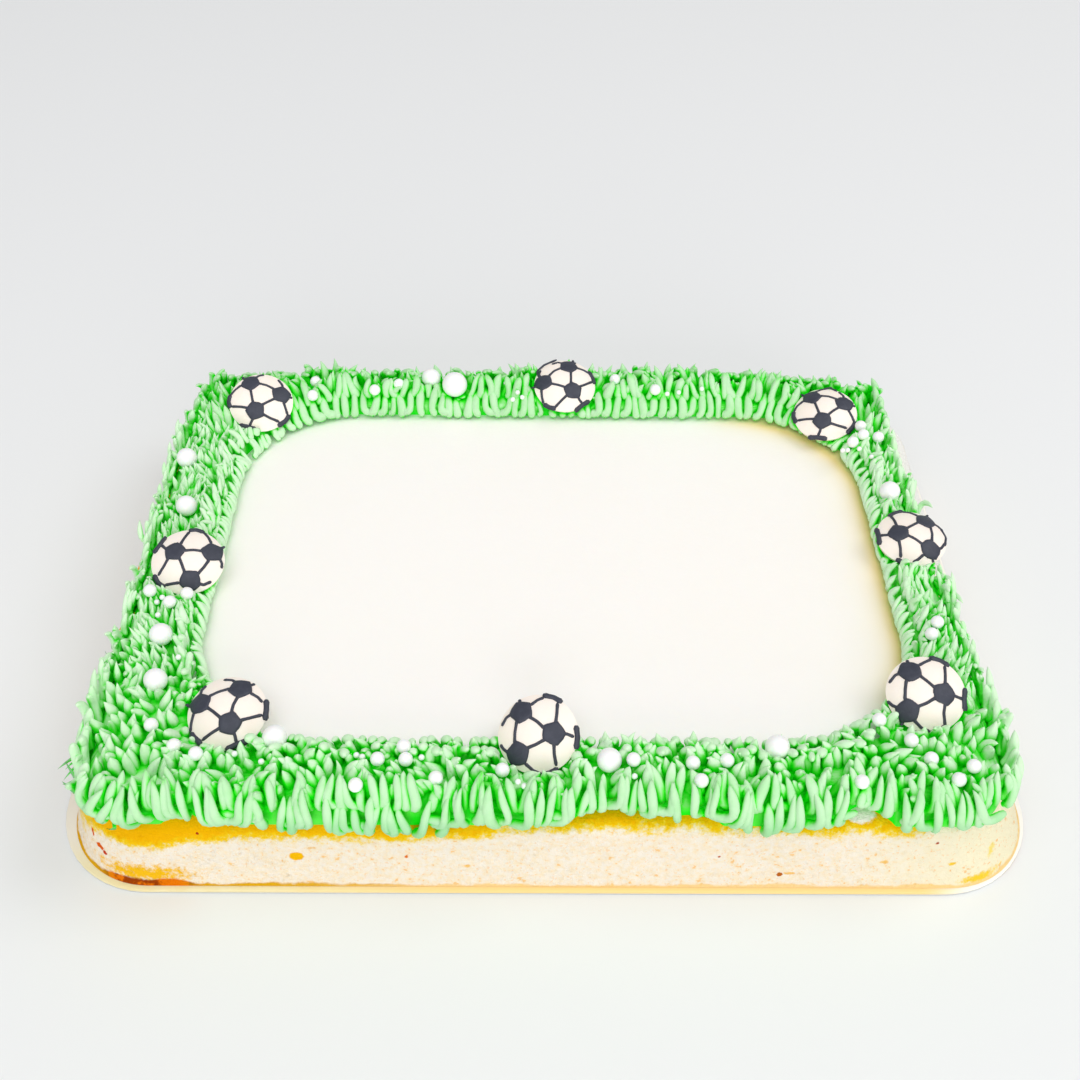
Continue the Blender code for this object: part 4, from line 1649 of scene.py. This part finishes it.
    def fill_space(self, family: Family, controls: Array, widths: Array) -> None:
        """Add the strands of a family to the filled space, as loose points that carry their volume.

        Args:
            family: the family.
            controls: the strands' control points.
            widths: the strands' widths.
        """
        share = (np.arange(self.fill_steps) + 0.5) / self.fill_steps
        middle, radius = self.swept(family, share, controls, widths)
        loose = self.dice.normal(0, 1, (self.fill_points, 3))
        loose *= (self.dice.uniform(0, 1, (self.fill_points, 1)) ** (1 / 3)
                  / np.linalg.norm(loose, axis=1, keepdims=True))
        length = np.linalg.norm(np.diff(middle, axis=1), axis=-1).sum(axis=1)[:, None]
        volume = math.pi * radius ** 2 * length / self.fill_steps / self.fill_points / self.cell ** 3
        points = middle[:, :, None] + radius[..., None, None] * loose
        cells = self.cell_of(points).reshape(-1, 3)
        index = np.ravel_multi_index(tuple(cells.T), self.fill.shape)
        amount = np.repeat(volume.reshape(-1), self.fill_points)
        self.fill += np.bincount(index, amount, self.fill.size).reshape(self.fill.shape)

    def cell_of(self, points: Array) -> Array:
        """Cells of the filled space that hold the points."""
        return np.clip(((points - self.space_low) / self.cell).astype(int), 0, np.array(self.fill.shape) - 1)

    def fill_ground(self) -> None:
        """Add the cake, the bed and the decorations to the filled space, then soften it."""
        axes = [low + (np.arange(count) + 0.5) * self.cell
                for low, count in zip(self.space_low, self.space_cells)]
        plan = np.stack(np.meshgrid(axes[0], axes[1], indexing="ij"), axis=-1)
        on_border = (self.inward(plan) > 0) & (self.inner.distance(plan) > 0)
        shoulder = self.sizes.level(SHOULDER_RADIUS, 1.0).distance(plan)
        rise = np.sqrt(np.maximum(SHOULDER_RADIUS ** 2 - np.maximum(shoulder, 0.0) ** 2, 0.0))
        drop = SHOULDER_RADIUS - rise
        ground = np.where(shoulder < 0, self.sizes.icing_top, self.sizes.sponge_top - drop)
        ground = np.where(shoulder > SHOULDER_RADIUS, 0.0, ground)
        bed = self.sizes.icing_top + self.bed_over_icing(self.across_at(plan))
        ground = np.where(on_border, bed, ground)[..., None]
        height = axes[2][None, None]
        self.fill[height < ground] = 1.0
        for decoration in self.decorations:
            roof = decoration.ceiling(plan, SHEER)[..., None]
            self.fill[(height > roof) & (height < roof + self.decoration_depth)] = 1.0
        self.fill = np.minimum(self.fill, 1.0)
        for axis in range(3):
            self.fill = (np.roll(self.fill, 1, axis) + self.fill + np.roll(self.fill, -1, axis)) / 3

    def mark_occlusion(self, mesh: Mesh) -> None:
        """Store on each corner how hemmed in it is, from 0 to 1, as the occlusion that the grass's material
        paints as shade.

        Args:
            mesh: the mesh.
        """
        points = corner_places(mesh)
        normals = np.empty(points.size)
        mesh.vertex_normals.foreach_get("vector", normals)
        normals = normals.reshape(-1, 3)
        start = points + self.look_out * normals
        turn = np.arange(self.looks) * math.pi * (3 - math.sqrt(5))
        rise = 1 - 2 * (np.arange(self.looks) + 0.5) / self.looks
        level = np.sqrt(1 - rise ** 2)
        hidden = np.zeros(len(points))
        total = np.full(len(points), LEAST_SHARE)
        for look in np.stack((level * np.cos(turn), level * np.sin(turn), rise), axis=-1):
            weight = np.maximum(normals @ look, 0.0) * max(self.least_light, 0.5 + 0.5 * look[2])
            thick = np.zeros(len(points))
            for step in range(self.look_steps):
                cells = self.cell_of(start + (step + 0.5) * self.look_step * look)
                thick += self.fill[tuple(cells.T)]
            hidden += weight * (1 - np.exp(-thick * self.look_step * self.thickness))
            total += weight
        occlusion = hidden / total
        log.info("%s: depth %s", mesh.name, np.percentile(occlusion, (10, 50, 90)).round(2))
        carry(mesh, "occlusion", occlusion)

    def dress(self, dresser: Dresser) -> None:
        """Build the bed and every family, then mark how hemmed in they are, which their material paints as
        shade.

        Args:
            dresser: makes the pieces.
        """
        meshes = {family.name: self.family_mesh(family) for family in FAMILIES}
        meshes["grass_bed"] = self.bed_mesh()
        self.fill_ground()
        for name, mesh in meshes.items():
            self.mark_occlusion(mesh)
            finish = WISPS if name == "grass_wisps" else GRASS
            dresser.piece(name, mesh, finish, *(("grass_border",) if name == "grass_bed" else ()))


# A topper's pattern in shares of its radius, before it is turned: pentagons, thin lines and thick bars
PENTAGONS = ((0.39, -0.02, 0.0), (-0.40, 0.49, 120.0), (-0.44, -0.50, 240.0))
PENTAGON_REACH = 0.29
PENTAGON_SWELL = 1.02
PENTAGON_HALF_SIDE = 36.0
# Shares of the pentagon's reach and of its relief, from its foot to its middle
PENTAGON_RINGS = ((1.0, -0.4), (1.0, 0.35), (0.93, 0.80), (0.80, 1.0), (0.45, 1.0), (0.12, 1.0))
THIN_LINES = (
    ((0.20, 0.08), (0.00, 0.23), (-0.21, 0.39)),
    ((-0.48, 0.27), (-0.52, 0.00), (-0.51, -0.27)),
    ((-0.25, -0.41), (-0.03, -0.28), (0.21, -0.13)),
    ((0.42, 0.22), (0.43, 0.47), (0.43, 0.72)),
    ((-0.18, 0.66), (-0.04, 0.79), (0.10, 0.86)),
    ((0.39, -0.24), (0.41, -0.48), (0.44, -0.75)),
    ((-0.28, -0.71), (-0.09, -0.86), (0.10, -0.92)),
    ((0.60, 0.00), (0.71, -0.02), (0.84, -0.04)),
    ((-0.60, 0.46), (-0.75, 0.38), (-0.85, 0.21)),
    ((-0.67, -0.45), (-0.79, -0.37), (-0.88, -0.27)),
    ((-0.43, 0.72), (-0.45, 0.80)),
    ((-0.52, -0.73), (-0.58, -0.82)),
)
THICK_BARS = (
    ((0.11, 0.93), (0.33, 0.88), (0.53, 0.77)),
    ((0.14, -0.94), (0.31, -0.90), (0.48, -0.80)),
    ((0.91, 0.19), (0.90, -0.06), (0.91, -0.31)),
)
EXTRA_LINES = {
    "back_middle": (((-0.76, -0.44), (-0.93, -0.30), (-0.985, 0.04), (-0.89, 0.42)),
                    ((-0.45, 0.66), (-0.50, 0.76), (-0.56, 0.81))),
    "back_right": (((-0.89, 0.18), (-0.99, -0.04), (-0.88, -0.25)),),
    "middle_right": (((-0.86, -0.30), (-0.93, -0.04), (-0.87, 0.25)),),
}


@dataclass
class Topper:
    """A ball topper: a cream dome with its pattern piped on in dark icing."""

    sizes: CakeSizes
    spot: TopperSpot
    spokes: int = 72
    rings: int = 14
    clearance: float = 0.0003
    held_reach: float = 0.95
    foot_inset: float = 0.35
    foot_rise: float = 0.0003
    merge_reach: float = 0.00001
    dome_sharp: float = 60.0
    pattern_sharp: float = 70.0
    wave_depth: float = 0.012
    wave_scale: float = 90.0
    wave_shift: float = 50.0
    relief: float = 0.00055
    unevenness: float = 0.012
    pentagon_points: int = 40
    pentagon_waves: int = 12
    pentagon_wave: float = 0.4
    pentagon_softness: float = 0.35
    line_width: float = 0.00055
    bar_width: float = 0.0010
    line_sides: int = 10
    line_flatness: float = 0.75
    knob: float = 0.25
    knob_start: float = 0.55
    knob_length: float = 0.45
    end_girth: float = 0.55
    end_reach: float = 0.6

    def __post_init__(self) -> None:
        """Work out the dome and the place."""
        cap = TOPPER_HEIGHT - TOPPER_EDGE
        self.dome = (TOPPER_RADIUS ** 2 + cap ** 2) / (2 * cap)
        self.dome_centre = TOPPER_HEIGHT - self.dome
        spot = self.spot
        lean = (Matrix.Rotation(math.radians(spot.lean_front), 4, "X")
                @ Matrix.Rotation(math.radians(spot.lean_right), 4, "Y"))
        steepness = math.sin(math.radians(math.hypot(spot.lean_right, spot.lean_front)))
        rise = max(TOPPER_RADIUS * steepness, TOPPER_LEAST_RISE)
        point = self.sizes.on_cake(spot.x, spot.y, TOPPER_LOW_RIM + rise)
        self.place = Matrix.Translation(point) @ lean @ Matrix.Rotation(math.radians(spot.turn), 4, "Z")
        self.dice = np.random.default_rng(int(abs(spot.x) * 1e5 + abs(spot.y) * 1e4))

    def underside(self) -> Disc:
        """The disc that the grass stays under."""
        return Disc(self.place, TOPPER_RADIUS + self.clearance)

    def on_dome(self, x: float, y: float, lift: float) -> Vector:
        """A place over the dome, given in shares of the radius.

        Args:
            x: the place to the right.
            y: the place to the back.
            lift: the distance off the dome.

        Returns:
            The place.
        """
        x, y = x * TOPPER_RADIUS, y * TOPPER_RADIUS
        reach = math.hypot(x, y)
        held = min(reach, self.held_reach * TOPPER_RADIUS)
        rise = math.sqrt(self.dome ** 2 - held ** 2)
        slope = Vector((x, y, 0.0)) * (held / max(reach, LEAST_LENGTH)) + Vector((0, 0, rise))
        return Vector((x, y, self.dome_centre + rise)) + slope.normalized() * lift

    def body_mesh(self) -> Mesh:
        """The dome on its short round edge.

        Returns:
            The mesh.
        """
        widest = math.asin(TOPPER_BODY_RADIUS / self.dome)
        profile = [(0.0, 0.0), (TOPPER_BODY_RADIUS - TOPPER_EDGE, 0.0),
                   (TOPPER_BODY_RADIUS - self.foot_inset * TOPPER_EDGE, self.foot_rise)]
        for ring in range(self.rings):
            angle = widest * (1 - ring / self.rings)
            profile.append((self.dome * math.sin(angle), self.dome_centre + self.dome * math.cos(angle)))
        profile.append((0.0, TOPPER_HEIGHT))
        builder = bmesh.new()
        corners = [builder.verts.new((radius, 0.0, height)) for radius, height in profile]
        edges = [builder.edges.new(pair) for pair in zip(corners, corners[1:])]
        bmesh.ops.spin(builder, geom=corners + edges, cent=(0, 0, 0), axis=(0, 0, 1), angle=math.tau,
                       steps=self.spokes, use_merge=True)
        bmesh.ops.remove_doubles(builder, verts=builder.verts, dist=self.merge_reach)
        settle_order(builder)
        shift = Vector((self.spot.x, self.spot.y, 0)) * self.wave_shift
        for corner in builder.verts:
            corner.co.xy *= 1 + self.wave_depth * noise.noise(corner.co * self.wave_scale + shift)
        bmesh.ops.transform(builder, verts=builder.verts, matrix=self.place)
        return finished_mesh(builder, self.dome_sharp)

    def add_pentagon(self, builder: Builder, x: float, y: float, turn: float) -> None:
        """A filled pentagon with soft corners, slightly domed.

        Args:
            builder: the bmesh to add to.
            x: the place of its middle to the right.
            y: the place of its middle to the back.
            turn: its turn in degrees.
        """
        waves = self.dice.normal(0, self.unevenness, self.pentagon_waves)
        fifth = math.tau / 5
        outline = []
        for step in range(self.pentagon_points):
            angle = math.tau * step / self.pentagon_points
            side = math.cos(fifth / 2) / math.cos((angle + fifth / 2) % fifth - fifth / 2)
            side = self.pentagon_softness + (1 - self.pentagon_softness) * side
            wave = waves[step * self.pentagon_waves // self.pentagon_points] * self.pentagon_wave
            heading = angle + math.radians(turn + PENTAGON_HALF_SIDE)
            outline.append((PENTAGON_REACH * side * PENTAGON_SWELL + wave, heading))
        loops = [[self.on_dome(x + share * reach * math.cos(heading), y + share * reach * math.sin(heading),
                               lift * self.relief) for reach, heading in outline]
                 for share, lift in PENTAGON_RINGS]
        add_stack(builder, loops)

    def add_line(self, builder: Builder, stops: tuple[Pair, ...], width: float) -> None:
        """A piped line over the dome, thicker at its ends.

        Args:
            builder: the bmesh to add to.
            stops: the places that it runs through.
            width: its half width.
        """
        stops = [Vector((x, y)) + Vector(self.dice.normal(0, self.unevenness, 2)) for x, y in stops]
        last = 3 * len(stops) + 2
        centres = []
        for index in range(last + 1):
            share = index / last * (len(stops) - 1)
            part = min(int(share), len(stops) - 2)
            flat = stops[part].lerp(stops[part + 1], share - part)
            centres.append(self.on_dome(flat.x, flat.y, 0.0))
        loops = []
        for index, centre in enumerate(centres):
            ahead = (centres[min(index + 1, last)] - centres[max(index - 1, 0)]).normalized()
            up = (centre - Vector((0, 0, self.dome_centre))).normalized()
            side = ahead.cross(up).normalized()
            from_middle = abs(2 * index / last - 1)
            girth = width * (1 + self.knob * max(0.0, from_middle - self.knob_start) / self.knob_length)
            if index in (0, last):
                girth *= self.end_girth
                centre = centre + ahead * (self.end_reach * girth * (1 if index else -1))
            turns = [math.tau * step / self.line_sides for step in range(self.line_sides)]
            loops.append([centre + girth * (math.cos(turn) * side + self.line_flatness * math.sin(turn) * up)
                          for turn in turns])
        add_stack(builder, loops)

    def pattern_mesh(self) -> Mesh:
        """The dark pattern in one mesh.

        Returns:
            The mesh.
        """
        builder = bmesh.new()
        for x, y, turn in PENTAGONS:
            self.add_pentagon(builder, x, y, turn)
        for stops in THIN_LINES + EXTRA_LINES.get(self.spot.name, ()):
            self.add_line(builder, stops, self.line_width)
        for stops in THICK_BARS:
            self.add_line(builder, stops, self.bar_width)
        bmesh.ops.transform(builder, verts=builder.verts, matrix=self.place)
        return finished_mesh(builder, self.pattern_sharp)

    def dress(self, dresser: Dresser) -> None:
        """Build the dome and its pattern.

        Args:
            dresser: makes the pieces.
        """
        node = "topper_" + self.spot.name
        dresser.piece(node + "_dome", self.body_mesh(), CREAM, node)
        dresser.piece(node + "_pattern", self.pattern_mesh(), DARK)


@dataclass
class LargePearl:
    """One of the large sugar pearls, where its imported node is."""

    node: str
    detail: int = 5
    dent_depth: float = 0.012
    dent_scale: float = 250.0
    dent_shift: float = 90.0

    def __post_init__(self) -> None:
        """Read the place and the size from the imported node."""
        low, high = (Vector(corner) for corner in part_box(self.node))
        self.centre = (low + high) / 2
        self.radius = (high.x - low.x) / 2

    def ball(self) -> Ball:
        """The ball that the grass stays under."""
        return Ball(self.centre, self.radius)

    def dress(self, dresser: Dresser) -> None:
        """Build the pearl, slightly uneven.

        Args:
            dresser: makes the pieces.
        """
        builder = bmesh.new()
        bmesh.ops.create_icosphere(builder, subdivisions=self.detail, radius=self.radius)
        for corner in builder.verts:
            dent = abs(noise.noise(corner.co * self.dent_scale + self.centre * self.dent_shift))
            corner.co *= 1 - self.dent_depth * dent
        bmesh.ops.translate(builder, verts=builder.verts, vec=self.centre)
        dresser.piece("sugar_" + self.node, finished_mesh(builder), PEARL, self.node)


@dataclass
class LoosePearls:
    """The medium or the small pearls, joined in one piece."""

    sizes: CakeSizes
    kind: Pearls
    width: float
    canopy: float
    detail: int
    seed: int = 3
    height_spread: float = 0.0003

    def balls(self) -> list[Ball]:
        """The pearls as balls that the grass stays under.

        Returns:
            The balls.
        """
        dice = np.random.default_rng(self.seed)
        height = self.sizes.icing_top + self.canopy
        places = [self.sizes.on_cake(x / PER_METRE, y / PER_METRE,
                                     height + float(dice.normal(0, self.height_spread)))
                  for x, y in self.kind.value]
        return [Ball(place, self.width / 2) for place in places]

    def dress(self, dresser: Dresser) -> None:
        """Build all the pearls of the kind.

        Args:
            dresser: makes the pieces.
        """
        builder = bmesh.new()
        for ball in self.balls():
            bmesh.ops.create_icosphere(builder, subdivisions=self.detail, radius=ball.radius,
                                       matrix=Matrix.Translation(ball.centre))
        dresser.piece("sugar_pearls_" + self.kind.name.lower(), finished_mesh(builder), PEARL)


@dataclass
class Studio:
    """Floor, lights and camera."""

    sizes: CakeSizes
    eye: Triple = (-0.00855, -0.32987, 0.38052)
    yaw: float = 0.830
    pitch: float = 44.873
    roll: float = 0.930
    focal_pixels: float = 1253.6
    picture_width: float = 1080.0
    sensor: float = 36.0
    lights: tuple[tuple[str, Triple, float, float, Triple], ...] = (
        ("window", (2.0, 0.3, 2.6), 1.8, 27.5, (1.0, 0.99, 0.97)),
        ("fill", (0.3, -3.0, 0.6), 2.4, 47.0, (1.0, 0.99, 0.98)),
        ("sky", (-0.3, -0.9, 2.5), 2.4, 26.4, (1.0, 1.0, 1.0)),
    )
    floor_half: float = 3.0
    floor_colour: Triple = (0.825, 0.835, 0.845)
    floor_roughness: float = 0.6
    surroundings: float = 0.50

    def add_camera(self) -> None:
        """The camera at the photograph's viewing angle."""
        data = bpy.data.cameras.new("camera")
        data.sensor_width = self.sensor
        data.lens = self.sensor * self.focal_pixels / self.picture_width
        camera = added("camera", data)
        camera.matrix_world = (Matrix.Translation(self.sizes.on_cake(*self.eye))
                               @ Matrix.Rotation(-math.radians(self.yaw), 4, "Z")
                               @ Matrix.Rotation(math.radians(90 - self.pitch), 4, "X")
                               @ Matrix.Rotation(math.radians(self.roll), 4, "Z"))
        bpy.context.scene.camera = camera

    def add_lights(self) -> None:
        """Soft square lights aimed at the cake."""
        for name, place, size, power, colour in self.lights:
            data = bpy.data.lights.new(name, "AREA")
            data.size = size
            data.energy = power
            data.color = colour
            light = added(name, data)
            light.location = place
            light.rotation_euler = (-Vector(place)).to_track_quat("-Z", "Y").to_euler()

    def add_floor(self) -> None:
        """A plain pale floor."""
        builder = bmesh.new()
        bmesh.ops.create_grid(builder, x_segments=1, y_segments=1, size=self.floor_half)
        mesh = finished_mesh(builder)
        mesh.materials.append(material_of("floor", {"Base Color": opaque(self.floor_colour),
                                                    "Roughness": self.floor_roughness}))
        added("floor", mesh)

    def set_up(self) -> None:
        """Add everything and the soft surroundings."""
        self.add_camera()
        self.add_floor()
        self.add_lights()
        world = bpy.data.worlds.new("surroundings")
        world.use_nodes = True
        background = world.node_tree.nodes["Background"]
        background.inputs["Color"].default_value = (1.0, 1.0, 1.0, 1.0)
        background.inputs["Strength"].default_value = self.surroundings
        bpy.context.scene.world = world
        bpy.context.scene.view_settings.view_transform = "Standard"


def main() -> None:
    """Dress the whole cake."""
    logging.basicConfig(level=logging.INFO, format="%(message)s")
    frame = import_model()
    sizes = CakeSizes.from_frame()
    dresser = Dresser()
    Studio(sizes).set_up()
    toppers = [Topper(sizes, spot) for spot in TOPPERS]
    large_pearls = [LargePearl(node) for node in sorted(frame["nodes"]) if node.startswith("pearl_large")]
    medium = LoosePearls(sizes, Pearls.MEDIUM, MEDIUM_PEARL, MEDIUM_CANOPY, detail=4)
    small = LoosePearls(sizes, Pearls.SMALL, SMALL_PEARL, SMALL_CANOPY, detail=3)
    decorations = [topper.underside() for topper in toppers]
    decorations += [pearl.ball() for pearl in large_pearls]
    decorations += medium.balls() + small.balls()
    for part in (Board(sizes), Sponge(sizes), Icing(sizes), Grass(sizes, decorations), *toppers,
                 *large_pearls, medium, small):
        part.dress(dresser)


if __name__ == "__main__":
    main()
